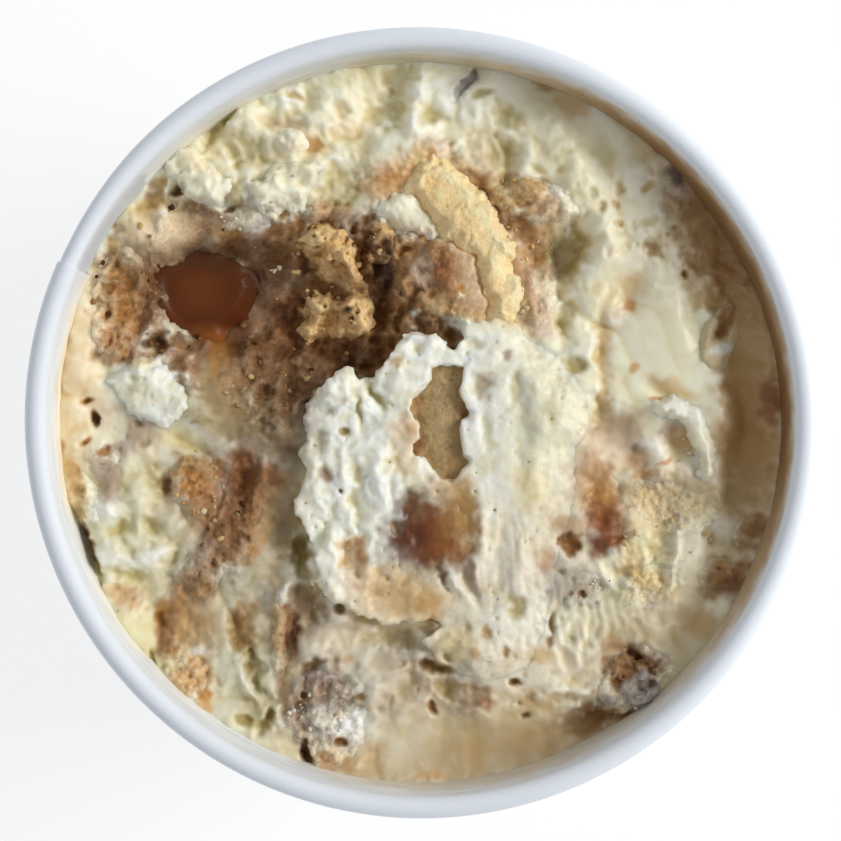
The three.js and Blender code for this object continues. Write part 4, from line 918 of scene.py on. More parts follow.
# Outlines of single pieces from above, in mm: a piece's name, its corners in order, and a semicolon.
PIECE_OUTLINES = """
date_sponge_hollow: -19.5 25.6, -14 26.6, -9 26.2, -5 26.4, -2.4 24, -2.4 20, -1.6 15, .6 11, -2 6, -6 4,
-9 5, -12 3, -13.6 0, -17 -.4, -21 .8, -24 2.4, -24.4 5.5, -22.6 9.5, -20.2 11.6, -19.4 15, -19.8 19,
-21.4 22, -21.6 24.6;
sponge_finger: -1.4 30.4, -.4 32.2, 1.4 32.9, 3.4 32.2, 6 29.8, 8.3 27.6, 10.4 25.1, 11.6 22.4, 11.8 20,
12.1 17.6, 12.4 16.2, 11.6 13.8, 10.8 12.2, 9.2 12.2, 8 14.2, 7.6 17, 6.4 20.2, 4.6 21.6, 3.2 22.2, 1.4 24.2,
-.4 26.6, -1.4 29;
date_sponge_mid: -3.4 22.6, -1.5 23.4, 1.5 23.2, 3.4 22.6, 5.4 22, 7 20, 8 17, 8.7 14.6, 8 12.8, 6.2 12,
4.6 12, 3 12.8, 1.6 11.8, .4 12.8, -.6 14.4, -2.2 16.4, -3 18.8, -3.5 20.6;
cream_dab: -2.9 28.7, -1.6 27.9, -.4 27.7, .6 26.1, 1.6 24.5, 2.7 23.2, 1.6 22.3, .2 22.5, -.6 23.5,
-2.2 23.3, -3.6 24.3, -4.6 25.5, -5.4 26.4, -4.4 27.4, -3.5 27.7;
cream_lump_top: -32 32.5, -30.6 33.9, -28 34, -26.5 32.8, -25.8 30.9, -24.6 30.4, -23.2 29.8, -23.5 28.6,
-24.4 27.2, -25.6 26.9, -27 27.2, -28.6 27.5, -29.5 29.2, -31 30.8;
cream_lump_left: -38.9 5.2, -36 7.5, -33.5 8.4, -32.1 7.5, -31 5.5, -29 3, -28.3 1.5, -29.5 .1, -31.5 -.6,
-34 .2, -36 1.2, -37.6 3;
cream_lump_mid: -20.8 29.2, -19.4 29.9, -18.6 31.5, -16.4 32.1, -14 32.5, -12.2 31.6, -12.8 29.8, -14.2 27.2,
-16 25.8, -17.8 25.7, -19 26.4, -19.6 25.8, -20.5 27;
cream_fold_right: 28.4 2.5, 30 3.2, 31.8 3.3, 33.8 2.1, 35.4 .3, 36.2 -1.8, 36.7 -4.2, 36.2 -6.9, 35.2 -7.5,
34.3 -6, 34.1 -4, 33.6 -2.2, 32.2 -.6, 30.6 .6, 29 1.2;
soaked_streak: -21.5 -4.6, -19.6 -5.6, -19.2 -8.6, -20 -12, -21.2 -15, -22.6 -18, -25.4 -20.4, -27.6 -21.4,
-30.2 -20.4, -30.6 -18.6, -28.6 -16.2, -27 -14, -25.8 -11.4, -24.6 -8.8, -23.8 -6.2;
crumb_golden_upper: -15 23.2, -13 24.9, -11.2 24.6, -9 23.2, -7.7 21.8, -7.9 19.8, -7 18.4, -6.6 16.6,
-8.2 16.6, -10 18, -12.2 18.4, -13.4 20.2, -12.4 21, -14.6 21.8;
crumb_golden_lower: -14.8 15.8, -13.2 17, -11.4 16.2, -9.8 15.4, -7.2 16.2, -5.9 14.4, -6.2 12, -7.4 10.4,
-9.4 10.2, -11.6 10.4, -14.2 10, -15.6 11.6, -14 13.4;
date_sponge_rim: -33.6 22.6, -32 25.4, -29 26.6, -25.5 27.2, -22 26.4, -18.6 25.8, -18.6 21.4, -20.6 19.4,
-23 20.6, -27 21.4, -30.6 20.8, -33.4 18.6;
date_sponge_left: -39.6 8.6, -36.8 8, -35.4 9.6, -35.2 12.6, -34.8 15.6, -33.8 17, -34.4 19.6, -35.4 21.6,
-37 21.8, -39 19.6, -40.4 16, -40.6 11.6;
syrup_pool: -34 17.2, -33.6 14.6, -31.4 12.2, -28.8 10.9, -26.8 9.6, -25 9.4, -24 11.2, -21.8 12.8,
-20.7 14.8, -19.9 17, -20.6 19.2, -22.6 20.9, -25.6 21.7, -28.8 21.6, -31.6 20.7, -33.4 19.2
"""
OUTLINES: dict[str, Outline] = {
    "cream_scoop": SCOOP_OUTLINE,
    "sponge_window": tuple((2.3 + (x - 2.3) * 1.28, 0.2 + (y - 0.2) * 1.16) for x, y in WINDOW_OUTLINE),
    **{name.strip(): table(corners) for name, corners in (part.split(":") for part in PIECE_OUTLINES.split(";"))},
}


@dataclass
class Food:
    """The lie of the food over the tub's mouth: its height, colour and feel, as maps.

    Attributes:
        edge: Level of the cream where it meets the wall, in mm.
        scoop_level: Level of the scoop before its relief, in mm.
        step: Spacing of the maps, in mm.
        half: Half the side of the square that the maps cover, in mm.
    """

    edge: float = 52.6
    scoop_level: float = 54.05
    step: float = 0.15
    half: float = 46.2

    def __post_init__(self) -> None:
        """Works out the maps."""
        axis = np.arange(-self.half, self.half, self.step, dtype=np.float32)
        self.x, self.y = np.meshgrid(axis, axis, indexing="ij")
        self.grain = Grain(11)
        fine = Grain(29)
        x, y = self.x, self.y
        self.drift_x = 2.3 * self.grain.rolling(x, y, 0.3, 3.4, 3)
        self.drift_y = 2.3 * self.grain.rolling(x, y, 9.3, 3.4, 3)
        self.fret_x = 0.75 * fine.rolling(x, y, 0.3, 1.0, 3)
        self.fret_y = 0.75 * fine.rolling(x, y, 9.3, 1.0, 3)
        self.blotch = fine.rolling(x, y, 12.3, 1.7, 3)
        self.scoop_depth = inside_by(SCOOP_OUTLINE, x + 0.15 * self.drift_x + 0.6 * self.fret_x,
                                     y + 0.15 * self.drift_y + 0.6 * self.fret_y)
        self.feels = {feel: self._feel(feel) for feel in Feel}
        self.lie = self._lie()
        self.top, self.crest, self.bed = self._heights(self.lie)
        self.smooth = blurred(self.top, 9)
        self.paint, self.scoop_paint = self._paint()
        # The tint is the paint with painted shade in hollows and creases and painted highlights on crests.
        self.tint = self._shaded(self.paint)

    def _window(self, cx: float, cy: float, reach: float) -> tuple[slice, slice]:
        """Finds the part of the maps within a reach of a point.

        Args:
            cx: The point's x, in mm.
            cy: The point's y, in mm.
            reach: How far the part goes to each side, in mm.

        Returns:
            What the part takes up of the maps, along x and along y.
        """
        low_x = max(0, int((cx - reach + self.half) / self.step))
        low_y = max(0, int((cy - reach + self.half) / self.step))
        span = int(2 * reach / self.step) + 2
        return slice(low_x, low_x + span), slice(low_y, low_y + span)

    def _reach(self, w: tuple[slice, slice], oval: Sequence[float], soft: float = 0.5) -> Array:
        """Measures an oval whose edge wanders, the less the softer it is.

        Args:
            w: The part of the maps it is measured on.
            oval: Its middle x and y, half length, half width and turn.
            soft: How soft it is, from 0 to 1.

        Returns:
            The reach of each place, where 1 is the oval's edge.
        """
        cx, cy, long, wide, turn = oval
        sharp = 1 - 0.8 * soft
        share = min(0.5, 0.12 * (long + wide))
        fret = min(1.0, 0.5 + 0.3 * min(long, wide)) * sharp
        x = self.x[w] + share * self.drift_x[w] + fret * self.fret_x[w]
        y = self.y[w] + share * self.drift_y[w] + fret * self.fret_y[w]
        return oval_reach(x, y, cx, cy, long, wide, turn) * (1 + 0.7 * sharp * self.blotch[w])

    def _raise(self, height: Array, reliefs: Sequence[tuple[float, ...]], gain: float = 1.3) -> None:
        """Adds mounds and hollows to a height map.

        Args:
            height: The map, changed in place.
            reliefs: What is added.
            gain: What their rise is multiplied by.
        """
        for cx, cy, long, wide, turn, rise, edge in reliefs:
            w = self._window(cx, cy, 2.4 * max(long, wide) + 1.5)
            reach = self._reach(w, (cx, cy, long, wide, turn))
            height[w] += gain * rise * np.exp(-reach ** min(edge, 3.5))

    def _feel(self, feel: Feel) -> Array:
        """Lays out one feel.

        Args:
            feel: Which one.

        Returns:
            A map of how strongly it holds, from 0 to 1.
        """
        total = np.zeros_like(self.x)
        for kind, cx, cy, long, wide, turn, soft, amount in FEELS:
            if kind is not feel:
                continue
            w = self._window(cx, cy, 2 * max(long, wide) + 1.5)
            reach = self._reach(w, (cx, cy, long, wide, turn), soft)
            total[w] = np.maximum(total[w], amount * (1 - ease(1 - soft, 1 + soft, reach)))
        return total

    def _lie(self) -> Array:
        """Lays the broad height of the food without the scoop.

        Returns:
            The height at each place of the maps, in mm.
        """
        height = np.full_like(self.x, self.edge)
        for reliefs in (HOLLOW_RELIEF, UPPER_RELIEF, LOWER_RELIEF):
            self._raise(height, reliefs)
        soft = np.maximum(self.feels[Feel.CRUMB], self.feels[Feel.WET])
        return height * (1 - soft) + blurred(height, 5) * soft

    def _heights(self, lie: Array) -> tuple[Array, Array, Array]:
        """Works out the surface.

        Args:
            lie: The broad height.

        Returns:
            The surface of the food, the scoop's own surface carried on past its edge, and
            the bed's surface carried on under the scoop.
        """
        x, y, g = self.x, self.y, self.grain
        scoop = np.full_like(lie, self.scoop_level)
        self._raise(scoop, SCOOP_RELIEF)
        width = 0.5 + 4.5 * ease(4.0, 15.0, x - 0.25 * np.minimum(y, 0))
        share = ease(0.0, 1.0, self.scoop_depth / width)
        in_scoop = ease(-1.5, 1.5, self.scoop_depth)
        feels = self.feels
        # Every wave is read at places that wander, so that no grid shows.
        ragged = 0.12 + 0.3 * in_scoop * feels[Feel.TORN]
        across = x + 0.12 * y + 0.3 * self.drift_x + ragged * self.fret_x
        along = y + 0.3 * self.drift_y + ragged * self.fret_y
        # Folds of torn cream, long ones in the scoop, and curds where it was piled.
        round_folds = 0.42 - np.abs(g.wave(across / 2.1, along / 2.1, 4.5))
        long_folds = 0.42 - np.abs(g.wave(across / 2.5, along / 4.2, 2.5))
        small_folds = 0.4 - np.abs(g.wave(across / 0.9, along / 1.3, 6.5))
        folds = round_folds * (1 - 0.5 * in_scoop) + 0.5 * long_folds * in_scoop
        curds = np.abs(g.wave(across / 6.0, along / 6.0, 13.5)) - 0.22
        small_curds = np.abs(g.wave(across / 2.8, along / 2.8, 17.5)) - 0.22
        lumps = 1.9 * curds + 0.45 * small_curds + 0.06 * g.wave(across / 1.3, along / 1.3, 21.5)
        # Ribbed and airy cream and the cream by the wall lie calmer.
        calm = np.maximum(feels[Feel.RIBBED], feels[Feel.AIRY])
        calm = np.maximum(calm, ease(37.0, 41.5, np.hypot(x, y)) * (0.3 + 0.7 * ease(-14.0, 12.0, x - 0.3 * y)))
        lumpy = np.maximum(feels[Feel.LUMPY], 0.8 * (1 - in_scoop)) * (1 - 0.55 * calm)
        rough = lumpy * lumps
        rough = rough + feels[Feel.TORN] * (1.2 * folds + (0.04 + 0.05 * in_scoop) * small_folds)
        ribs = np.cos(2 * np.pi * (across + 0.25 * self.drift_y) / 1.15)
        rough = rough + 0.09 * feels[Feel.RIBBED] * ribs
        rough = rough + (0.02 + 0.05 * feels[Feel.TORN] * in_scoop) * g.rolling(x, y, 3.1, 0.9, 2)
        # Bubbles in the cream, and crumbs and grit in what is soaked.
        bubbles = np.maximum(g.balls(across / 1.35, along / 1.5, 0.5, 0.08, 0.4, flat=True), 0)
        froth = np.maximum(g.balls(x / 0.62, y / 0.62, 5.5, 0.1, 0.42, flat=True), 0)
        airy = feels[Feel.AIRY] + 0.06
        rough = rough - airy * (1.3 * bubbles + 0.4 * froth)
        crumb = feels[Feel.CRUMB] * (0.95 * g.rolling(x, y, 5.3, 2.0, 3) - 0.2 * froth)
        grit = feels[Feel.FINE] * (0.5 * g.rolling(x, y, 8.1, 0.8, 2) - 0.35 * froth)
        # Creases between curds, where _shaded paints shade into the colour.
        self.creases = lumpy * (ease(0.16, 0.0, curds + 0.22) + 0.6 * ease(0.14, 0.0, small_curds + 0.22))
        wet = 1 - 0.85 * feels[Feel.WET]
        rough = wet * (rough + crumb + grit)
        pits = np.zeros_like(lie)
        self._raise(pits, PITS, 0.6)
        worked = rough + pits
        self.plain = lie + worked
        top = lie * (1 - share) + scoop * share + worked
        return top, scoop + worked, lie + worked - 1.2 * ease(0.3, 1.5, self.scoop_depth)

    def sink(self, outline: Outline, amount: float) -> None:
        """Sinks the bed within an outline.

        Args:
            outline: Where it sinks.
            amount: How far, in mm.
        """
        low, high = np.min(outline, axis=0), np.max(outline, axis=0)
        w = self._window(*((low + high) / 2), float(np.max(high - low)) / 2 + 1)
        depth = self.depth_in(outline, self.x[w], self.y[w])
        self.bed[w] -= amount * ease(0.5, 1.4, depth)

    def wet_at(self, x: Array, y: Array) -> Array:
        """Returns how wet the food is at some places."""
        return self.at(self.feels[Feel.WET], x, y)

    def depth_in(self, outline: Outline, x: Array, y: Array) -> Array:
        """Measures how far places lie inside an outline whose edge wanders.

        Args:
            outline: The outline's corners, in mm.
            x, y: The places, in mm.

        Returns:
            The distances, negative outside, in mm.
        """
        low, high = np.min(outline, axis=0), np.max(outline, axis=0)
        share = min(0.6, 0.05 * float(np.min(high - low)))
        fret = min(0.8, 0.09 * float(np.min(high - low)))
        return inside_by(outline, x + share * self.at(self.drift_x, x, y) + fret * self.at(self.fret_x, x, y),
                         y + share * self.at(self.drift_y, x, y) + fret * self.at(self.fret_y, x, y))

    def _paint(self) -> tuple[Array, Array]:
        """Lays the stain tables, painted light and shade among them.

        Returns:
            The colours over the bed and those over the scoop, in linear light.
        """
        x, y, g = self.x, self.y, self.grain
        paint = np.empty((*x.shape, 3), np.float32)
        paint[:] = Hue.CREAM.light()
        scoop = paint.copy()
        for stains_and_shading, layers in ((BROAD_STAINS_AND_SHADE, (paint, scoop)), (HOLLOW_STAINS_AND_SHADE, (paint,)), (STAINS_LIGHT_AND_SHADE, (paint, scoop))):
            for hue, cx, cy, long, wide, turn, soft, amount in stains_and_shading:
                w = self._window(cx, cy, (1.6 + soft) * max(long, wide) + 1.5)
                reach = self._reach(w, (cx, cy, long, wide, turn), soft)
                weight = (amount * (1 - ease(1 - soft, 1 + 0.8 * soft, reach)))[..., None]
                for layer in layers:
                    layer[w] = layer[w] * (1 - weight) + hue.light() * weight
        clouds = np.clip(1.3 * g.rolling(x, y, 15.1, 4.2, 3), -1, 1)[..., None]
        shade, glow = np.array([0.9, 0.85, 0.72]), np.array([1.03, 1.03, 1.06])
        clouded = 1 + np.abs(clouds) * (np.where(clouds > 0, glow, shade) - 1)
        speck = g.rolling(x, y, 18.1, 0.7, 2)[..., None]
        depth = 0.02 + 0.35 * (feels_of(self.feels, Feel.CRUMB, Feel.FINE))[..., None]
        worked = (clouded * np.exp(depth * speck)).astype(np.float32)
        return paint * worked, scoop * worked

    def _shaded(self, paint: Array) -> Array:
        """Paints shade into the colour in hollows and creases, and paints highlights on crests.

        Args:
            paint: The colours of the stain tables.

        Returns:
            The tint of the surface, with the painted shade and highlights.
        """
        crumb = feels_of(self.feels, Feel.CRUMB)[..., None]
        # Painted shade: the colour darkens and yellows where the surface lies below its blurred self, browner in
        # crumb.
        near = (blurred(self.top, 3) - self.top)[..., None] / 0.4
        wide = (self.smooth - self.top)[..., None] / 0.9
        sunk = np.clip(0.25 * near + 0.7 * wide, 0, 1)
        deep = np.array([0.88, 0.79, 0.5]) * (1 - crumb) + np.array([0.68, 0.54, 0.4]) * crumb
        tint = paint * (1 - sunk * (1 - deep))
        # Painted shade in the creases between curds.
        crease = (np.clip(self.creases, 0, 1) * 0.6)[..., None]
        tint = tint * (1 - crease * (1 - np.array([0.93, 0.87, 0.7])))
        # Painted highlight: crests go towards white, more where the stain is pale.
        crest = np.clip(-0.3 * near - 0.5 * wide, 0, 1)
        lift = 0.46 * np.minimum(paint.mean(axis=2, keepdims=True) * 1.3, 1) ** 1.5
        return (tint + (1 - tint) * crest * lift).astype(np.float32)

    def at(self, layer: Array, x: Array, y: Array) -> Array:
        """Reads a map between its points.

        Args:
            layer: The map.
            x, y: Places, in mm.

        Returns:
            The map's values there.
        """
        last = self.x.shape[0] - 2
        gx = np.clip((x + self.half) / self.step, 0, last)
        gy = np.clip((y + self.half) / self.step, 0, last)
        i, j = gx.astype(int), gy.astype(int)
        fx, fy = gx - i, gy - j
        if layer.ndim == 3:
            fx, fy = fx[..., None], fy[..., None]
        low = layer[i, j] * (1 - fy) + layer[i, j + 1] * fy
        high = layer[i + 1, j] * (1 - fy) + layer[i + 1, j + 1] * fy
        return low * (1 - fx) + high * fx


def feels_of(feels: dict[Feel, Array], *kinds: Feel) -> Array:
    """Returns the strongest of several feels at each place."""
    return np.maximum.reduce([feels[kind] for kind in kinds])


# ---- Blender helpers


def deselect() -> None:
    """Leaves nothing selected, in object mode."""
    if bpy.context.mode != "OBJECT":
        bpy.ops.object.mode_set(mode="OBJECT")
    bpy.ops.object.select_all(action="DESELECT")


@contextmanager
def opened(piece: Piece, everything: bool = True) -> Iterator[None]:
    """Opens a piece in edit mode for a while.

    Args:
        piece: The object.
        everything: Whether all of it is selected; if not, its selection is kept.

    Returns:
        A context in which the piece is open.
    """
    deselect()
    piece.select_set(True)
    bpy.context.view_layer.objects.active = piece
    bpy.ops.object.mode_set(mode="EDIT")
    if everything:
        bpy.ops.mesh.select_all(action="SELECT")
    yield
    bpy.ops.object.mode_set(mode="OBJECT")


def started(name: str) -> Piece:
    """Takes up the primitive that was just added.

    Args:
        name: The piece's own name.

    Returns:
        The primitive under that name.
    """
    piece = bpy.context.active_object
    piece.name = name
    return piece


def corners_of(piece: Piece) -> Array:
    """Reads the corners of a mesh.

    Args:
        piece: The object.

    Returns:
        The corners in mm.
    """
    flat = np.empty(len(piece.data.vertices) * 3, np.float32)
    piece.data.vertices.foreach_get("co", flat)
    return flat.reshape(-1, 3) / MM


def move_corners(piece: Piece, points: Array) -> None:
    """Puts the mesh's corners at new places, in mm."""
    piece.data.vertices.foreach_set("co", (points * MM).astype(np.float32).ravel())
    piece.data.update()


def smooth_off(piece: Piece, degrees: float) -> None:
    """Turns the faces outwards and shades the piece smooth over edges flatter than an angle.

    Args:
        piece: The object.
        degrees: The angle from which an edge stays sharp.
    """
    with opened(piece):
        bpy.ops.mesh.normals_make_consistent(inside=False)
    bpy.ops.object.shade_smooth_by_angle(angle=math.radians(degrees))


def thicken(piece: Piece, thickness: float) -> None:
    """Gives a skin its thickness with a modifier and smooths it off.

    Args:
        piece: The object.
        thickness: How thick it becomes, in mm, half of it on either side.
    """
    modifier = piece.modifiers.new("Solidify", "SOLIDIFY")
    modifier.thickness, modifier.offset = thickness * MM, 0.0
    bpy.context.view_layer.objects.active = piece
    bpy.ops.object.modifier_apply(modifier=modifier.name)
    smooth_off(piece, 50.0)


def disc(name: str, *cuts: int) -> tuple[Piece, Array, Array]:
    """Makes a flat disc of triangles from a hexagon.

    Args:
        name: The object's name.
        cuts: How often each side is cut, in rounds.

    Returns:
        The object, its corners, and their share of the way from the middle to the edge.
    """
    deselect()
    bpy.ops.mesh.primitive_circle_add(vertices=6, radius=1.0, fill_type="TRIFAN")
    piece = started(name)
    with opened(piece):
        for number in cuts:
            bpy.ops.mesh.subdivide(number_cuts=number)
    flat = corners_of(piece) * MM
    turns = np.radians(60 * np.arange(6))
    reach = np.max(flat[:, :1] * np.cos(turns) + flat[:, 1:2] * np.sin(turns), axis=1)
    return piece, flat, reach / math.cos(math.radians(30))


def close_below(piece: Piece, level: float, radius: Optional[float] = None) -> None:
    """Draws a shaped disc's edge down to a level and closes it there with a flat face.

    Args:
        piece: The disc.
        level: Level of the flat face, in mm.
        radius: Radius of the flat face in mm, or None where the side stands straight.
    """
    surface = len(piece.data.vertices)
    with opened(piece):
        bpy.ops.mesh.region_to_loop()
        bpy.ops.mesh.extrude_region_move()
    points = corners_of(piece)
    edge = points[surface:]
    if radius is not None:
        edge[:, :2] *= (radius / np.hypot(edge[:, 0], edge[:, 1]))[:, None]
    edge[:, 2] = level
    move_corners(piece, points)
    with opened(piece, everything=False):
        bpy.ops.mesh.edge_face_add()
    smooth_off(piece, 80.0)


def as_piece(name: str, shell: Shell) -> Piece:
    """Makes an object of a shell.

    Args:
        name: The object's name.
        shell: Its quads, in mm.

    Returns:
        The object, shaded smooth.
    """
    mesh = bpy.data.meshes.new(name)
    mesh.vertices.add(len(shell.points))
    mesh.vertices.foreach_set("co", (shell.points * MM).astype(np.float32).ravel())
    mesh.loops.add(shell.faces.size)
    mesh.loops.foreach_set("vertex_index", shell.faces.astype(np.int32).ravel())
    mesh.polygons.add(len(shell.faces))
    mesh.polygons.foreach_set("loop_start", np.arange(0, shell.faces.size, 4, dtype=np.int32))
    mesh.update(calc_edges=True)
    mesh.validate()
    piece = bpy.data.objects.new(name, mesh)
    bpy.context.collection.objects.link(piece)
    mesh.polygons.foreach_set("use_smooth", np.ones(len(mesh.polygons), bool))
    return piece


def colour(piece: Piece, tint: Array, wet: Array | float) -> None:
    """Gives each corner its colour, and how wet it is in the colour's fourth part.

    Args:
        piece: The object.
        tint: Linear colours, one row to a corner or one for all.
        wet: From 0 dry to 1 wet.
    """
    rows = np.empty((len(piece.data.vertices), 4), np.float32)
    rows[:, :3] = np.clip(tint, 0, 1)
    rows[:, 3] = wet
    layer = piece.data.attributes.new("tint", "FLOAT_COLOR", "POINT")
    layer.data.foreach_set("color", rows.ravel())
    wetness = piece.data.attributes.new("wet", "FLOAT", "POINT")
    wetness.data.foreach_set("value", rows[:, 3].copy())


def settle(piece: Piece, slot: str, *nodes: str) -> None:
    """Dresses a finished piece and ties it to the frame.

    Args:
        piece: The object.
        slot: The record's material slot it stands for.
        nodes: The CAD nodes it stands for.
    """
    piece.data.materials.clear()
    piece.data.materials.append(FINISHES[slot].material())
    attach(piece, "root")
    if nodes:
        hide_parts(*nodes)
    LOG.info("%s: %d faces, for %s", piece.name, len(piece.data.polygons), ", ".join(nodes) or "no node")


# ---- Pieces of food


@dataclass(frozen=True)
class Working:
    """How the skin of one kind of food is worked, in mm.

    Attributes:
        lumps: Height and width of its large lumps.
        bumps: Height and width of its small bumps.
        pores: Width of the cells that hold one round pore each, then the least and greatest
            radius of a pore in cells; a width of 0 leaves it without pores.
        open: Width of the torn openings between its crumbs, and how much of it they take.
        rim: How far in from its edge it reaches its full height.
        ragged: How far its edge wanders.
        lean: How far its sides draw in for each millimetre below the top.
        deep: What its colour is multiplied by in deep hollows, as painted shade.
        lift: How far its crests go towards white, as a painted highlight.
        speck: How far its crumbs differ in lightness.
        gain: How much lighter it is than the stain it lies in, as its pores darken it.
        step: Spacing of the grid it is worked on.
    """

    lumps: tuple[float, float]
    bumps: tuple[float, float]
    pores: tuple[float, float, float]
    open: tuple[float, float]
    rim: float
    ragged: float
    lean: float
    deep: tuple[float, float, float]
    lift: float
    speck: float = 0.05
    gain: float = 1.0
    step: float = 0.2


class Stuff(Enum):
    """The kinds of food, and how the skin of each is worked."""

    SOFT = Working((0.6, 2.4), (0.16, 0.8), (0, 0, 0), (0, 0), 1.0, 1.0, 0.0, (0.72, 0.58, 0.44), 0.3, 0.2)
    CREAM = Working((0.5, 2.8), (0.1, 0.9), (1.8, 0.05, 0.2), (0, 0), 0.9, 0.8, 0.22, (0.92, 0.85, 0.66), 0.12)
    CRUMB = Working((1.3, 2.8), (0.45, 0.9), (0.6, 0.03, 0.18), (0, 0), 0.6, 1.3, 0.1,
                    (0.66, 0.5, 0.36), 0.4, 0.26, 1.08)
    TORN = Working((1.3, 2.6), (0.45, 0.9), (0.8, 0.1, 0.36), (1.8, 0.28), 0.5, 2.4, 0.0,
                   (0.68, 0.5, 0.34), 0.36, 0.24, 1.3)
    SPONGE = Working((0.15, 2.6), (0.13, 0.5), (0.6, 0.05, 0.22), (0, 0), 1.9, 0.5, 0.1,
                     (0.86, 0.76, 0.58), 0.35, 0.14, 1.1)
    SOAKED = Working((0.5, 2.4), (0.22, 0.7), (0.7, 0.05, 0.22), (0, 0), 1.0, 1.0, 0.0,
                     (0.66, 0.52, 0.38), 0.25, 0.15, 1.05)
    DATE = Working((0.2, 2.4), (0.05, 0.7), (0, 0, 0), (0, 0), 1.4, 0.7, 0.0, (0.75, 0.66, 0.56), 0.05)
    HARD = Working((0.3, 1.1), (0.12, 0.4), (0, 0, 0), (0, 0), 0.7, 0.6, 0.15, (0.75, 0.68, 0.58), 0.1)


@dataclass(frozen=True)
class Morsel:
    """One piece of food that lies in the cream.

    Attributes:
        node: The CAD node it stands for.
        stuff: What it is.
        slot: Its material slot.
        rise: How far it stands above the food round it, in mm.
        depth: How far it reaches below the food round it, in mm.
        hue: Its own colour, or None where it takes the food's.
        stains_and_shading: Stains over its own colour, painted light and shade among them.
        sunk: How far below the food's surface it lies, in mm.
        on_scoop: Whether it lies in the scoop of cream.
    """

    node: str
    stuff: Stuff
    slot: str
    rise: float
    depth: float = 1.6
    hue: Optional[Hue] = None
    stains_and_shading: Sequence[tuple] = ()
    sunk: float = 0.0
    on_scoop: bool = False

    def outline(self) -> Outline:
        """Finds the piece's outline from above.

        Returns:
            The outline's points, in mm.
        """
        if self.node in OUTLINES:
            return OUTLINES[self.node]
        corners = np.array([v.co for v in bpy.data.objects[self.node].data.vertices]) / MM
        return hull(corners[:, :2])

    def sink(self, food: Food) -> None:
        """Sinks the bed of cream under the piece, so that the piece hides it."""
        food.sink(self.outline(), 1.0)

    def build(self, food: Food) -> Piece:
        """Works the piece.

        Args:
            food: The maps of the food.

        Returns:
            The object.
        """
        work = self.stuff.value
        outline = self.outline()
        x, y, corner = grid_over(outline, 1.2, work.step)
        depth = food.depth_in(outline, x, y)
        ground = food.at(food.top if self.on_scoop else food.plain, x, y) - self.sunk
        top = ground + self.rise * ease(-0.1, max(work.rim, 0.55 * self.rise), depth) ** 0.6
        calm = 1 - 0.85 * food.wet_at(x, y)
        field, foot = self._field(work, x, y, depth, top, ground - self.depth, calm)
        return carved(self.node + "_look", field, (*corner, foot), work, work.step,
                      lambda px, py: self._paint(food, px, py), food)

    def _field(self, work: Working, x: Array, y: Array, depth: Array, top: Array,
               floor: Array, calm: Array) -> tuple[Array, float]:
        """Works the piece as a field on a grid.

        Args:
            work: How its skin is worked.
            x, y: The grid's places from above, in mm.
            depth: How far they lie inside its outline, in mm.
            top, floor: Levels that it reaches up and down to there, in mm.
            calm: What its roughness is multiplied by there.

        Returns:
            The field, positive inside the piece, and the grid's lowest level.
        """
        z = np.arange(float(floor[depth > -0.5].min()) - 0.4,
                      float(top[depth > -0.5].max()) + 1.6, work.step)
        grain = Grain(sum(map(ord, self.node)))
        px, py, pz = (v.astype(np.float32) for v in (x[..., None], y[..., None], z[None, None, :]))
        inner = (ease(-0.3, 0.9, depth) * calm)[..., None]
        height, width = work.lumps
        rough = height * grain.wave(px / width, py / width, pz / width)
        height, width = work.bumps
        rough = rough + height * grain.wave(px / width, py / width, pz / width)
        rough = rough + 0.45 * height * grain.wave(2.1 * px / width, 2.1 * py / width, 2.1 * pz / width)
        below = top[..., None] - pz
        upper = below + rough * inner
        side = depth[..., None] + 0.35 - work.lean * np.clip(below, 0, 3)
        side = side + 0.5 * work.ragged * rough / work.lumps[0]
        field = soft_least(upper, side, 0.3)
        cell, least, most = work.pores
        if cell > 0:
            pores = grain.balls(px / cell, py / cell, pz / cell, least, most) * cell
            field = np.where((inner > 0.2) & (below < 3.0), soft_least(field, -pores, 0.12), field)
        width, amount = work.open
        if amount > 0:
            torn = grain.wave(px / width, py / width, pz / width + 5.5)
            torn = torn + 0.55 * grain.wave(2.3 * px / width, 2.3 * py / width, 2.3 * pz / width + 1.5)
            gaps = (torn + 1.0 - 1.7 * amount) * 0.5 * width
            field = np.where((inner > 0.2) & (below < 3.0), soft_least(field, gaps, 0.15), field)
        return np.minimum(field, pz - floor[..., None]).astype(np.float32), z[0]

    def _paint(self, food: Food, x: Array, y: Array) -> Array:
        """Mixes the piece's own colours.

        Args:
            food: The food's maps.
            x: Where, in mm.
            y: Where, in mm.

        Returns:
            The colours at those places.
        """
        if self.hue is None:
            return food.at(food.scoop_paint if self.on_scoop else food.paint, x, y)
        paint = np.tile(self.hue.light(), (len(x), 1)).astype(np.float32)
        return stained_and_shaded(paint, x, y, self.stains_and_shading, food)


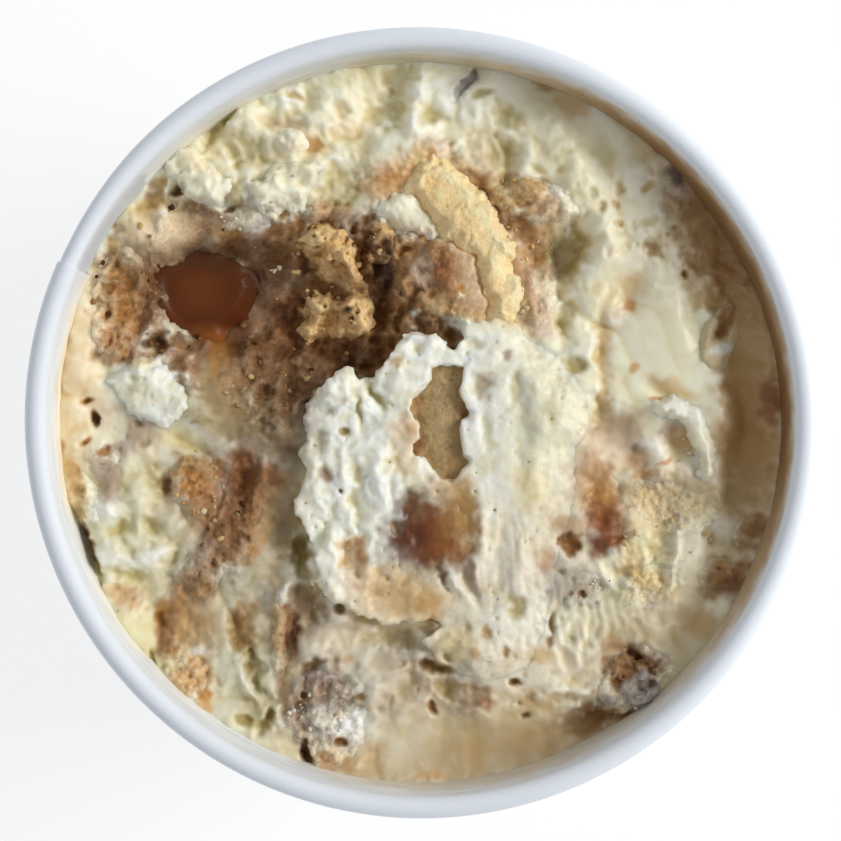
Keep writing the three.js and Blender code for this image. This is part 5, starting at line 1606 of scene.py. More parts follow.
def shaded(paint: Array, points: Array, field: Array, corner: Array, step: float, work: Working) -> Array:
    """Paints shade into a piece's hollows and highlights on its crests.

    Args:
        paint: Linear colours, one row to a corner of the piece.
        points: The piece's corners, in mm.
        field: The field that the piece was worked from.
        corner: Place of the field's first grid point, in mm.
        step: Spacing of its grid, in mm.
        work: How far the painted shade goes in hollows and the painted highlight on crests.

    Returns:
        The colours.
    """
    spots = points.astype(np.float32).T
    speck = 0.6 * Grain(7).wave(*(spots / 1.2)) + Grain(9).wave(*(spots / 0.45))
    paint = paint * (work.gain * np.exp(work.speck * speck))[:, None]
    body = np.clip(0.5 + field / (2 * step), 0, 1)
    cell = tuple(np.clip(((points - corner) / step).round().astype(int), 0, np.array(field.shape) - 1).T)
    near, wide = blurred(body, 2)[cell], blurred(body, 5)[cell]
    # Painted shade in hollows and painted highlight on crests, by how much of the field lies round each corner.
    hollow = (np.clip(0.6 * near + 0.4 * wide - 0.5, -0.2, 0.2) / 0.2)[:, None]
    tint = paint * (1 - np.clip(hollow, 0, 1) * (1 - np.array(work.deep)))
    return tint + (np.clip(tint, 0, 1) ** 0.5 - tint) * np.clip(-hollow, 0, 1) * work.lift


def grid_over(outline: Outline, margin: float, step: float) -> tuple[Array, Array, Array]:
    """Returns the two coordinates of a grid's places over an outline and a margin, and its corner."""
    low, high = np.min(outline, axis=0) - margin, np.max(outline, axis=0) + margin
    return (*np.meshgrid(np.arange(low[0], high[0], step), np.arange(low[1], high[1], step), indexing="ij"), low)


def carved(name: str, field: Array, corner: Sequence[float], work: Working, step: float,
           paint: Callable[[Array, Array], Array], food: Food) -> Piece:
    """Lays a skin on a field and colours it.

    Args:
        name: The object's name.
        field: Values on a grid, positive inside the piece.
        corner: Place of the grid's first point, in mm.
        work: How far the painted shade goes in hollows and the painted highlight on crests.
        step: Spacing of the grid, in mm.
        paint: Gives the piece's colours at places in mm.
        food: The maps of the food.

    Returns:
        The object.
    """
    shell = skin(field, np.array(corner), step).largest()
    x, y = shell.points[:, 0], shell.points[:, 1]
    tint = shaded(paint(x, y), shell.points, field, np.array(corner), step, work)
    piece = as_piece(name, Shell(kept_in(shell.points), shell.faces))
    colour(piece, tint, food.wet_at(x, y))
    return piece


def stained_and_shaded(paint: Array, x: Array, y: Array, stains_and_shading: Sequence[tuple], food: Food) -> Array:
    """Lays stain marks over colours at some places, painted light and shade among them.

    Args:
        paint: Linear colours, one row to a place.
        x, y: The places, in mm.
        stains_and_shading: What is laid, in order.
        food: The maps that say how the stains' edges wander.

    Returns:
        The colours with those marks on them.
    """
    drift_x, drift_y, fret_x, fret_y, blotch = (
        food.at(m, x, y) for m in (food.drift_x, food.drift_y, food.fret_x, food.fret_y, food.blotch)
    )
    for hue, cx, cy, long, wide, turn, soft, amount in stains_and_shading:
        sharp = 1 - 0.8 * soft
        px, py = x + 0.25 * drift_x + sharp * fret_x, y + 0.25 * drift_y + sharp * fret_y
        reach = oval_reach(px, py, cx, cy, long, wide, turn) * (1 + 0.7 * sharp * blotch)
        weight = (amount * (1 - ease(1 - soft, 1 + 0.8 * soft, reach)))[..., None]
        paint = paint * (1 - weight) + hue.light() * weight
    return paint


MORSELS = (
    Morsel("date_sponge_hollow", Stuff.SOFT, "date_sponge", 0.25, 2.4),
    Morsel("date_sponge_left", Stuff.CRUMB, "date_sponge", 0.9, 2.0),
    Morsel("date_sponge_rim", Stuff.SOFT, "date_sponge", 0.3),
    Morsel("date_sponge_lower_right", Stuff.CRUMB, "date_sponge", 0.8, 2.0),
    Morsel("date_sponge_bottom", Stuff.CRUMB, "date_sponge", 0.25, 2.0),
    Morsel("streak_low", Stuff.SOAKED, "date_sponge", 0.3),
    Morsel("crumb_left_small", Stuff.SOAKED, "date_sponge", 0.3),
    Morsel("crumb_golden_upper", Stuff.TORN, "golden_crumb", 2.6, 2.0, Hue.GOLD,
           table("FAWN -9.4 18.4 3.4 1.2 -40 .8 .6, STRAW -12.8 23 1.8 1.4 0 .8 .5")),
    Morsel("crumb_golden_lower", Stuff.TORN, "golden_crumb", 2.3, 2.0, Hue.GOLD,
           # The near-black spot is painted shade in a gap between crumbs.
           table("""
           FAWN -10.2 12.6 1.6 2.6 0 .8 .6, SOOT -8.7 13.8 .7 .5 0 .5 1,
           STRAW -13 14.6 1.6 1.6 0 .8 .5, STRAW -7 13.6 .9 2 0 .8 .4""")),
    Morsel("crumb_golden_side", Stuff.TORN, "golden_crumb", 0.9, 2.0, Hue.FAWN,
           table("COCOA -4.8 21.2 1.6 2.2 0 .8 .8, GOLD -4.4 24 1.6 .9 0 .6 .9")),
    Morsel("sponge_left_mid", Stuff.SOAKED, "golden_crumb", 0.4),
    Morsel("crumb_wall_left", Stuff.CRUMB, "golden_crumb", 0.2),
    Morsel("date_sponge_mid", Stuff.SOFT, "soaked_sponge", 1.2, 2.0),
    Morsel("sponge_torn_upper", Stuff.SOFT, "soaked_sponge", 0.7),
    Morsel("sponge_torn_side", Stuff.SOFT, "soaked_sponge", 0.5),
    Morsel("peach_bit", Stuff.SOAKED, "soaked_sponge", 0.3, on_scoop=True),
    Morsel("soaked_patch_upper", Stuff.SOAKED, "soaked_sponge", 0.3),
    Morsel("soaked_patch_lower", Stuff.SOAKED, "soaked_sponge", 0.3),
    Morsel("soaked_streak", Stuff.SOAKED, "soaked_sponge", 0.4, 2.0),
    Morsel("sponge_wall_low", Stuff.SOAKED, "soaked_sponge", 0.4),
    Morsel("date_scoop", Stuff.DATE, "date", 0.15, on_scoop=True),
    Morsel("date_right", Stuff.DATE, "date", 0.25),
    Morsel("date_skin_top", Stuff.DATE, "date", 0.5),
    Morsel("date_bit_wall", Stuff.DATE, "date", 0.4),
    Morsel("date_left", Stuff.DATE, "date", 0.4),
    Morsel("crumb_grey_right", Stuff.SOFT, "nut", 0.1),
    Morsel("sponge_right_upper", Stuff.SPONGE, "sponge", 0.2),
    Morsel("sponge_right_lower", Stuff.SPONGE, "sponge", 0.25),
    Morsel(
        "sponge_finger", Stuff.SPONGE, "sponge", 1.9, 2.4, Hue.SPONGE,
        # The two CAKE bands are painted light along the finger's right edge, the side that faces the lamp.
        table("""
           CAKE 10 20 8.5 1.3 -66 .7 .8, CAKE 5 28.6 3.6 1.2 -44 .7 .7,
           STRAW 4.6 24.6 4.2 1.6 -40 .8 .3, STRAW 1.2 28.2 2.6 .9 80 .8 .5,
           STRAW 8.6 15.6 3 1.4 80 .8 .5"""),
    ),
    Morsel(
        "cream_dab", Stuff.CREAM, "cream", 1.5, 2.2, Hue.CREAM,
        table("BLUSH -.6 23.6 3.4 1 -20 .8 .8, TAN -4.4 24.4 1.2 .9 0 .6 .7"),
    ),
    Morsel(
        "cream_lump_left", Stuff.CREAM, "cream", 1.9, 2.0, Hue.PALE,
        table("""
           LIME -35 3.6 2.6 2.6 0 .8 .7, BUTTER -34.4 7.6 1.5 1 0 .7 1,
           CREAM -30 2.4 1.8 2.6 30 .8 .6"""),
    ),
    Morsel("cream_lump_top", Stuff.CREAM, "cream", 1.7, 2.0, Hue.CREAM,
           table("PEACH -27 32 2.6 1.4 -20 .8 .7")),
    Morsel("cream_lump_mid", Stuff.CREAM, "cream", 1.3, 2.0, Hue.CREAM,
           table("PEACH -16 31.4 2.6 1 0 .8 .6")),
    Morsel("cream_fold_right", Stuff.CREAM, "cream", 1.7, 2.0, Hue.CREAM,
           table("PALE 33 1.6 3.6 1.6 -30 .8 .6, ASH 35.4 -5 1.2 2.4 0 .8 .6")),
    Morsel(
        # The sponge finger seen down the scoop's window, in painted shade: a darker copy of the finger's colour.
        "sponge_window", Stuff.SPONGE, "sponge", 0.3, 1.2, Hue.RUSK,
        table("""
           BEIGE 2.6 .6 1.2 5.6 0 .9 .3, FAWN -1 2.6 1.2 1.6 0 .9 .7,
           RUST -1.2 -3.2 1.8 1.2 30 .9 .6, BROWN 5.6 1 1.2 1.8 0 .9 .8,
           FAWN 4.6 -4.6 1.6 2.4 0 .9 .5"""),
        1.6, on_scoop=True,
    ),
    Morsel("sugar_lump", Stuff.HARD, "nut", 0.9, 1.4, Hue.CREAM,
           table("BLUSH -16.6 34.2 1.6 .8 0 .8 .7")),
    Morsel("nut_curl", Stuff.HARD, "nut", 0.6, 1.6, Hue.BEIGE,
           table("""
           FAWN 37.8 12.6 2.8 1.1 60 .5 1, BROWN 37.2 11.4 1.6 .4 60 .6 .8,
           PALE 37.4 8.9 1.7 .8 14 .6 .8, ASH 35.2 14.6 1.6 1 30 .6 .8""")),
)


@dataclass
class CreamBed:
    """The cream that fills the tub, as one body from its torn surface down to the base.

    Attributes:
        radius: Radius of its surface at the wall, in mm.
        foot: Level of its underside, in mm.
        foot_radius: Radius of its underside, in mm.
        cuts: How often each side of its first hexagon is cut, in two rounds.
    """

    radius: float
    foot: float
    foot_radius: float
    cuts: tuple[int, int] = (40, 3)

    def build(self, food: Food) -> Piece:
        """Gives a disc the food's relief and draws its side down.

        Args:
            food: The maps of the food.

        Returns:
            The object.
        """
        piece, flat, share = disc("cream_bed_look", *self.cuts)
        move_corners(piece, self._surface(flat, share, food))
        close_below(piece, self.foot, self.foot_radius)
        x, y, _ = corners_of(piece).T
        colour(piece, food.at(food.tint, x, y), food.wet_at(x, y))
        return piece

    def _surface(self, flat: Array, share: Array, food: Food) -> Array:
        """Lays the flat disc on the food's round surface.

        Args:
            flat: The disc's corners.
            share: How far out each is, from 0 to 1.
            food: The maps of the food.

        Returns:
            The corners, in mm.
        """
        spread = np.hypot(flat[:, 0], flat[:, 1])
        grow = self.radius * share / np.where(spread > 0, spread, 1)
        x, y = flat[:, 0] * grow, flat[:, 1] * grow
        level = food.at(food.bed, x, y)
        meet = 1 + share ** 8 * (reach_at(x, y, level) / self.radius - 1)
        return kept_in(np.stack([x * meet, y * meet, level], axis=1))


@dataclass
class Scoop:
    """The torn scoop of cream in the middle, with a window down to a sponge finger.

    Attributes:
        outline: Its outline from above, in mm.
        window: The hole's outline, in mm.
        step: Spacing of the grid it is worked on, in mm.
    """

    outline: Outline = SCOOP_OUTLINE
    window: Outline = WINDOW_OUTLINE
    step: float = 0.22

    def build(self, food: Food) -> Piece:
        """Works the scoop.

        Args:
            food: The maps of the food.

        Returns:
            The object.
        """
        x, y, corner = grid_over(self.outline, 1.5, self.step)
        depth, top, crest = (food.at(m, x, y) for m in (food.scoop_depth, food.top, food.crest))
        ground = food.at(food.lie, x, y)
        blend = ease(4.0, 15.0, x - 0.25 * np.minimum(y, 0))
        height = top * blend + crest * (1 - blend)
        floor = np.minimum(ground, top) - 1.6
        z = np.arange(float(floor[depth > 0].min()) - 0.5, float(height[depth > 0].max()) + 0.8, self.step)
        grain = Grain(41)
        px, py, pz = (v.astype(np.float32) for v in (x[..., None], y[..., None], z[None, None, :]))
        below = height[..., None] - pz
        loose = (1 - blend)[..., None]
        lumps = grain.wave(px / 2.4, py / 2.4, pz / 1.9)
        bumps = grain.wave(px / 0.9, py / 0.9, pz / 0.9)
        upper = below + loose * (0.22 * lumps + 0.12 * bumps)
        side = depth[..., None] + loose * (0.55 * lumps + 0.25 * bumps - 0.16 * np.clip(below, 0, 5))
        field = soft_least(upper, side, 0.25 + 0.5 * loose)
        away = -inside_by(self.window, x + 0.3 * food.at(food.drift_x, x, y),
                          y + 0.3 * food.at(food.drift_y, x, y))
        hole = away[..., None] + 0.3 * lumps + 0.22 * bumps + 0.18 * np.clip(below, 0, 4)
        field = soft_least(field, np.where(below < 3.2, hole, 9.0), 0.4)
        bubbles = grain.balls(px / 1.3, py / 1.3, pz / 1.3, 0.02, 0.2) * 1.3
        field = np.where((below < 1.6) & (depth[..., None] > 0.6), soft_least(field, -bubbles, 0.1), field)
        field = np.minimum(field, pz - floor[..., None]).astype(np.float32)
        return carved("cream_scoop_look", field, (*corner, z[0]), Stuff.CREAM.value, self.step,
                      lambda px, py: food.at(food.scoop_paint, px, py), food)


def round_the_middle(outline: Outline, angle: Array) -> Array:
    """Measures an outline from its middle to its edge.

    Args:
        outline: The outline's corners, in mm.
        angle: Directions from +X, in radians.

    Returns:
        The distance in each direction, in mm.
    """
    corners = np.array(outline) - np.mean(outline, axis=0)
    turns = np.arctan2(corners[:, 1], corners[:, 0])
    order = np.argsort(turns)
    spread = np.hypot(corners[:, 0], corners[:, 1])[order]
    return np.interp(angle, turns[order], spread, period=2 * math.pi)


# Painted light on the syrup: painted shade along its left, right and top edges (COCOA), and lighter, redder patches
# (RUST) in the middle and at the lower edge as painted sheen; WINE deepens its right part.
SYRUP_SHEEN_AND_SHADE = table("""
RUST -27.4 16.6 3.4 2.6 0 .9 .25, WINE -23 16.4 2.6 3.4 10 .9 .35,
COCOA -33.4 17 2 4.4 0 .9 .8, COCOA -20.4 16 1.6 4.4 0 .9 .7,
COCOA -27 21.2 7 2.2 -2 .9 .9, RUST -26 10.4 2.6 1.6 -14 .9 .8
""")


@dataclass(frozen=True)
class SyrupPool:
    """The smooth pool of date syrup in the hollow.

    Attributes:
        rise: How thick it stands over the food, in mm.
        rim: How far in from its edge it reaches its thickness, in mm.
        hue: Its colour.
        stains_and_shading: Painted sheen and shade over its colour.
        cuts: How often each side of its first hexagon is cut.
    """

    rise: float = 0.3
    rim: float = 2.6
    hue: Hue = Hue.CARAMEL
    stains_and_shading: Sequence[tuple] = SYRUP_SHEEN_AND_SHADE
    cuts: int = 44

    def build(self, food: Food) -> Piece:
        """Draws a disc out to the pool's outline and lays it level on the food.

        Args:
            food: The maps of the food.

        Returns:
            The object.
        """
        outline = OUTLINES["syrup_pool"]
        piece, flat, share = disc("syrup_pool_look", self.cuts)
        angle = np.arctan2(flat[:, 1], flat[:, 0])
        spread = round_the_middle(outline, angle) * share
        middle = np.mean(outline, axis=0)
        x, y = middle[0] + spread * np.cos(angle), middle[1] + spread * np.sin(angle)
        level = float(np.median(food.at(food.smooth, x, y)))
        over = level + self.rise + 0.08 * food.grain.rolling(x, y, 31.0, 4.0, 2)
        full = ease(0.0, self.rim, np.maximum(inside_by(outline, x, y), 0)) ** 0.7
        top = (food.at(food.top, x, y) - 0.25) * (1 - full) + over * full
        move_corners(piece, np.stack([x, y, top], axis=1))
        close_below(piece, np.min(corners_of(piece)[:, 2]) - 1.0)
        x, y, _ = corners_of(piece).T
        paint = np.tile(self.hue.light(), (len(x), 1))
        colour(piece, stained_and_shaded(paint, x, y, self.stains_and_shading, food), 1.0)
        return piece


@dataclass(frozen=True)
class Litter:
    """Small crumbs of one kind, strewn over the food as one piece.

    Attributes:
        name: The piece's name.
        slot: Its material slot.
        hues: The colours that its crumbs take in turn.
        spots: Ovals that the crumbs lie in: middle x, y, half length, half width, turn and count.
        least, most: Least and greatest half width of a crumb, in mm.
        seed: What the draws start from.
    """

    name: str
    slot: str
    hues: tuple[Hue, ...]
    spots: Sequence[tuple[float, ...]]
    least: float
    most: float
    seed: int

    def build(self, food: Food) -> Piece:
        """Strews copies of one crumb, each turned, stretched and dented its own way.

        Args:
            food: The maps of the food.

        Returns:
            The object.
        """
        deselect()
        bpy.ops.mesh.primitive_cube_add(size=1.2)
        piece = started(self.name)
        with opened(piece):
            bpy.ops.mesh.subdivide(number_cuts=2, smoothness=0.6)
        form = corners_of(piece) * MM
        faces = np.array([p.vertices[:] for p in piece.data.polygons])
        bpy.data.objects.remove(piece)
        draw = np.random.default_rng(self.seed)
        grain = Grain(self.seed)
        points, quads, tints = [], [], []
        for cx, cy, long, wide, turn, count in self.spots:
            c, s = math.cos(math.radians(turn)), math.sin(math.radians(turn))
            for _ in range(int(count)):
                angle, reach = draw.uniform(0, 2 * math.pi), math.sqrt(draw.uniform())
                u, v = long * reach * math.cos(angle), wide * reach * math.sin(angle)
                x, y = cx + u * c - v * s, cy + u * s + v * c
                size = self.least + (self.most - self.least) * draw.uniform() ** 2.2
                axes = np.linalg.qr(draw.normal(size=(3, 3)))[0]
                body = form * (1 + 0.35 * grain.wave(*(form.T * 1.3 + draw.uniform(0, 90)))[:, None])
                body = (body * draw.uniform(0.6, 1.25, 3)) @ axes * size
                ground = float(food.at(food.top, np.array(x), np.array(y)))
                quads.append(faces + len(form) * len(points))
                points.append(body + np.array([x, y, ground + 0.35 * size]))
                hue = self.hues[draw.integers(len(self.hues))].light() * draw.uniform(0.75, 1.2)
                tints.append(np.tile(hue, (len(form), 1)))
        piece = as_piece(self.name, Shell(kept_in(np.concatenate(points)), np.concatenate(quads)))
        colour(piece, np.concatenate(tints), 0.15)
        return piece


LITTER = (
    Litter(
        "crumbs_brown", "date_sponge", (Hue.FAWN, Hue.BROWN, Hue.COCOA, Hue.TAN),
        table("""
           -15 14 8.5 11 0 50, -29 24.6 6 2.4 6 16, -37 14.6 4 7 0 30, -20 4 5 2.6 0 22,
           26.4 -31 3 2.4 40 10, -24 -11 6 1.4 62 14, 1 17 2.4 5.4 0 10, -31 10 3.6 1.8 0 9"""),
        0.16, 0.6, 71,
    ),
    Litter(
        "crumbs_golden", "golden_crumb", (Hue.GOLD, Hue.STRAW, Hue.BEIGE, Hue.TAN),
        table("""
           -11.4 17.6 4.2 8 0 60, -27.4 -8 3 4.6 0 18, 13.8 27.4 5 2.4 -20 22, 30.6 -13 6 5.6 0 22,
           14.4 17.4 1.8 6 0 18, -4.4 22 2.2 2.4 0 12, 1 25.4 1.6 5 0 8, 11.8 20 .8 8 8 22"""),
        0.14, 0.5, 72,
    ),
    Litter(
        "crumbs_pale", "nut", (Hue.WHITE, Hue.BLUSH, Hue.STONE, Hue.PEACH),
        table("""
           -13 -36.8 3.4 3.6 0 36, 20.6 -20.6 3.4 2.2 0 6, -23.8 24.6 2.4 1.2 0 10, -18 19.5 1 .5 40 3,
           33.4 -3.6 2.2 2 0 8, -12.8 -21.6 2.4 2.2 0 8, 27.6 -33.6 3 1.6 30 10"""),
        0.14, 0.5, 73,
    ),
)


# ---- The tub


@dataclass
class Tub:
    """The paper tub: a lapped wall with a rolled rim, and a recessed base.

    Sizes are in mm. The wall is one strip that starts at the lap, goes once round and ends
    under its own start.

    Attributes:
        height: Foot to the top of the rim.
        rim: Outer radius of the rim.
        foot: Outer radius of the foot.
        board: Thickness of the paper board.
        roll: Outer radius of the rim's section.
        leg: Height of the wall's turned-in leg.
        base: Level of the base's upper face.
        skirt: Height of the base's turned-down skirt.
        lap_at: Degrees from +X to the strip's outer end.
        lap: Degrees that the strip's ends lie over each other.
        settle_by: Degrees over which the outer layer comes back to the common radius.
        steps: Steps of the spin.
    """

    height: float = TOP
    rim: float = RIM
    foot: float = FOOT
    board: float = BOARD
    roll: float = ROLL
    leg: float = 4.2
    base: float = 6.6
    skirt: float = 4.8
    lap_at: float = LAP_AT
    lap: float = LAP
    settle_by: float = SETTLE_BY
    steps: int = 440

    def wall_section(self) -> list[tuple[float, float]]:
        """Draws the board's middle line in section, from the leg up to the end of the roll.

        Returns:
            The line's points, as radius and height in mm.
        """
        half = self.board / 2
        foot = wall_at(0) + half
        turn = 0.55
        section = [(foot - 2 * turn, self.leg), (foot - 2 * turn, 0.5 * self.leg)]
        for step in range(7):
            angle = math.pi + math.pi * step / 6
            section.append((foot - turn + turn * math.cos(angle), half + turn + turn * math.sin(angle)))
        centre = self.height - self.roll
        for level in np.concatenate([np.linspace(4.0, 48.0, 12), np.arange(50.0, centre - 0.4, 0.6)]):
            section.append((float(wall_at(level)) + half, float(level)))
        for step in range(17):
            angle = math.pi - 1.5 * math.pi * step / 16
            spread = self.roll - half
            section.append((self.rim - self.roll + spread * math.cos(angle), centre + spread * math.sin(angle)))
        return section

    def _spun(self, name: str, section: Sequence[tuple[float, float]], degrees: float,
              steps: int) -> Piece:
        """Spins a line of corners round the axis.

        Args:
            name: The object's name.
            section: The line, as radius and height in mm.
            degrees: How far it is spun.
            steps: How many steps the spin takes.

        Returns:
            The object, a skin without thickness.
        """
        deselect()
        bpy.ops.mesh.primitive_plane_add(size=1.0)
        piece = started(name)
        c, s = math.cos(math.radians(self.lap_at)), math.sin(math.radians(self.lap_at))
        radius, level = section[0]
        with opened(piece):
            bpy.ops.mesh.merge(type="CENTER")
            bpy.ops.transform.translate(value=(radius * c * MM, radius * s * MM, level * MM))
            for (ra, za), (rb, zb) in zip(section, section[1:]):
                move = ((rb - ra) * c * MM, (rb - ra) * s * MM, (zb - za) * MM)
                bpy.ops.mesh.extrude_region_move(TRANSFORM_OT_translate={"value": move})
            bpy.ops.mesh.select_all(action="SELECT")
            bpy.ops.mesh.spin(steps=steps, angle=math.radians(degrees), center=(0, 0, 0), axis=(0, 0, 1))
        return piece

    def build_wall(self) -> Piece:
        """Makes the wall with its lap and rolled rim.

        Returns:
            The finished piece.
        """
        section = self.wall_section()
        piece = self._spun("tub_wall_look", section, 360 + self.lap, self.steps)
        points = corners_of(piece)
        turned = self._turned(points, len(section))
        shift = LAYER * (1 - ease(self.lap, self.lap + self.settle_by, turned))
        spread = np.hypot(points[:, 0], points[:, 1])
        roll_at, roll_level = self.rim - self.roll, self.height - self.roll
        curled = (points[:, 2] > roll_level - 0.01) | (spread > roll_at)
        tighter = np.where(curled, 1 - 0.45 * shift / (self.roll - self.board / 2), 1.0)
        aim = np.where(curled, roll_at + (spread - roll_at) * tighter, spread + shift)
        wobble = 0.12 * np.sin(np.radians(2 * turned + 40)) + 0.06 * np.sin(np.radians(3 * turned))
        aim = aim + wobble * points[:, 2] / self.height
        points[:, :2] *= (aim / spread)[:, None]
        points[:, 2] = roll_level + (points[:, 2] - roll_level) * tighter
        move_corners(piece, points)
        thicken(piece, self.board)
        return piece

    def _turned(self, points: Array, section: int) -> Array:
        """Finds how far each corner has been spun, from the order of the rings.

        Args:
            points: The corners, in mm.
            section: How many points the section that was spun has.

        Returns:
            The turn of each corner, in degrees.
        """
        around = self.lap_at - np.degrees(np.arctan2(points[:, 1], points[:, 0]))
        expected = np.arange(len(points)) // section * (360 + self.lap) / self.steps
        return around + 360 * np.round((expected - around) / 360)

    def paint_wall(self, piece: Piece, food: Food) -> None:
        """Colours the wall: clean board, a film of cream and syrup inside above the food with painted shade in it,
        and painted shade outside.

        Args:
            piece: The wall.
            food: The maps of the food, for the grain that the film's edge follows.
        """
        points = corners_of(piece)
        spread = np.hypot(points[:, 0], points[:, 1])
        turn = np.degrees(np.arctan2(points[:, 1], points[:, 0]))
        paint = np.tile(Hue.PAPER.light(), (len(points), 1))
        level = points[:, 2]
        inside = (spread < wall_at(level) + 0.3) & (level < self.height - 1) & (level > self.base)
        arc = np.radians(turn) * wall_at(55.0)
        blotch = food.grain.rolling(arc, level, 51.0, 3.0, 3)
        for hue, at, reach, low, high, amount in WALL_FILM_AND_SHADE:
            gap = np.abs((turn - at + 180) % 360 - 180)
            weight = 1 - ease(0.5 * reach, reach, gap + 6 * blotch)
            weight = weight * (1 - ease(low, high, level + 1.6 * blotch)) * amount * inside
            paint = paint * (1 - weight[:, None]) + hue.light() * weight[:, None]
        streak = food.grain.rolling(arc / 7.0, level / 0.9, 61.0, 1.0, 3)
        film = (inside * ease(62.0, 54.0, level))[:, None]
        paint = paint * (1 + 0.22 * film * streak[:, None])
        # Painted shade: outside, the board darkens from just under the rim's top to 5 mm below it.
        outside = ~inside * ease(self.height - 1.0, self.height - 5.0, level)
        colour(piece, paint * (1 - 0.28 * outside[:, None]), np.where(inside, 0.4, 0.0))

    def build_base(self) -> Piece:
        """Makes the recessed base with its turned-down skirt.

        Returns:
            The finished piece.
        """
        half = self.board / 2
        level = self.base - half
        edge = float(wall_at(self.base)) - 1.6 * self.board
        section = [(0.0, level), (0.5 * edge, level), (edge - 1.0, level)]
        for step in range(1, 6):
            angle = math.pi / 2 * (1 - step / 5)
            section.append((edge - 1.0 + math.cos(angle), level - 1.0 + math.sin(angle)))
        section.append((edge - 0.25, self.base - self.skirt))
        piece = self._spun("tub_base_look", section, 360, 160)
        with opened(piece):
            bpy.ops.mesh.remove_doubles(threshold=DOUBLED * MM)
            bpy.ops.mesh.normals_make_consistent(inside=False)
        thicken(piece, self.board)
        colour(piece, Hue.PAPER.light(), 0.0)
        return piece


# Film of cream and syrup on the inner wall, with painted shade: the browns on the right, near 0 to 20 degrees, and
# the grey at the top, near 95 degrees, also darken where the wall stands in shade. Columns: hue, middle and half
# reach in degrees, levels it fades between, amount.
WALL_FILM_AND_SHADE = table("""
CREAM 180 70 52.8 57.5 .5, ASH 95 50 53 59.5 .8, BEIGE 70 40 53 59 .7, TAN 16 70 54.5 61 .9,
FAWN 16 60 54 60 .85, BROWN 20 50 53 59 .6, BROWN 0 14 53 57 .6, BEIGE -60 60 53.8 58 .6,
PEACH 176 22 53 56.5 .6
""")


# ---- Finishes


def join(tree: bpy.types.NodeTree, *pairs: tuple[bpy.types.NodeSocket, bpy.types.NodeSocket]) -> None:
    """Links the first socket of each pair to the second."""
    for source, target in pairs:
        tree.links.new(source, target)


def node_at(tree: bpy.types.NodeTree, kind: str, **inputs: object) -> bpy.types.Node:
    """Adds a node and sets its inputs by name, with _ for each space.

    Args:
        tree: The node tree.
        kind: The node's type.
        inputs: The values of its inputs.

    Returns:
        The node.
    """
    node = tree.nodes.new(kind)
    for key, value in inputs.items():
        node.inputs[key.replace("_", " ")].default_value = value
    return node


def grain_group() -> bpy.types.NodeTree:
    """Returns the shared group that gives food its grain, made on first use.

    Returns:
        A group that takes a tint, how wet the surface is, the grain's size and how strongly it
        shows, and gives the colour, the roughness and the height of the surface.
    """
    name = "food_grain"
    if name in bpy.data.node_groups:
        return bpy.data.node_groups[name]
    tree = bpy.data.node_groups.new(name, "ShaderNodeTree")
    new, link, socket_at = tree.nodes.new, tree.links.new, tree.interface.new_socket
    for label, kind, start in (
        ("Tint", "Color", (0.8, 0.8, 0.8, 1)), ("Wet", "Float", 0.0), ("Size", "Float", 0.4),
        ("Tone", "Float", 0.1), ("Dry", "Float", 0.6), ("Damp", "Float", 0.25),
    ):
        socket = socket_at(name=label, in_out="INPUT", socket_type="NodeSocket" + kind)
        socket.default_value = start
    for label, kind in (("Colour", "Color"), ("Roughness", "Float"), ("Height", "Float")):
        socket_at(name=label, in_out="OUTPUT", socket_type="NodeSocket" + kind)
    given, out = new("NodeGroupInput").outputs, new("NodeGroupOutput").inputs
    place = new("ShaderNodeTexCoord").outputs["Object"]

    def maths(kind: str, one: object, other: object) -> bpy.types.NodeSocket:
        """Adds a sum of two sockets or numbers.

        Args:
            kind: The operation.
            one: The first socket or number.
            other: The second socket or number.

        Returns:
            The socket of the result.
        """
        node = new("ShaderNodeMath")
        node.operation = kind
        for at, value in enumerate((one, other)):
            if isinstance(value, bpy.types.NodeSocket):
                link(value, node.inputs[at])
            else:
                node.inputs[at].default_value = value
        return node.outputs[0]

    scale = maths("DIVIDE", 1.0 / MM, given["Size"])
    fine = node_at(tree, "ShaderNodeTexNoise", Detail=4.0, Roughness=0.6)
    broad = node_at(tree, "ShaderNodeTexNoise", Detail=2.0, Roughness=0.5)
    join(tree, (place, fine.inputs["Vector"]), (scale, fine.inputs["Scale"]), (place, broad.inputs["Vector"]),
         (maths("MULTIPLY", scale, 0.23), broad.inputs["Scale"]))
    both = maths("ADD", maths("MULTIPLY", fine.outputs["Fac"], 1.2), maths("MULTIPLY", broad.outputs["Fac"], 0.8))
    shift = maths("MULTIPLY", maths("SUBTRACT", both, 1.0), given["Tone"])
    mixed, rough = new("ShaderNodeVectorMath"), new("ShaderNodeMix")
    mixed.operation = "SCALE"
    join(tree, (given["Tint"], mixed.inputs[0]), (maths("ADD", shift, 1.0), mixed.inputs["Scale"]),
         (mixed.outputs[0], out["Colour"]), (given["Wet"], rough.inputs[0]), (given["Dry"], rough.inputs[2]),
         (given["Damp"], rough.inputs[3]),
         (maths("ADD", rough.outputs[0], maths("MULTIPLY", shift, 0.5)), out["Roughness"]),
         (maths("MULTIPLY", both, maths("SUBTRACT", 1.0, maths("MULTIPLY", given["Wet"], 0.7))), out["Height"]))
    return tree


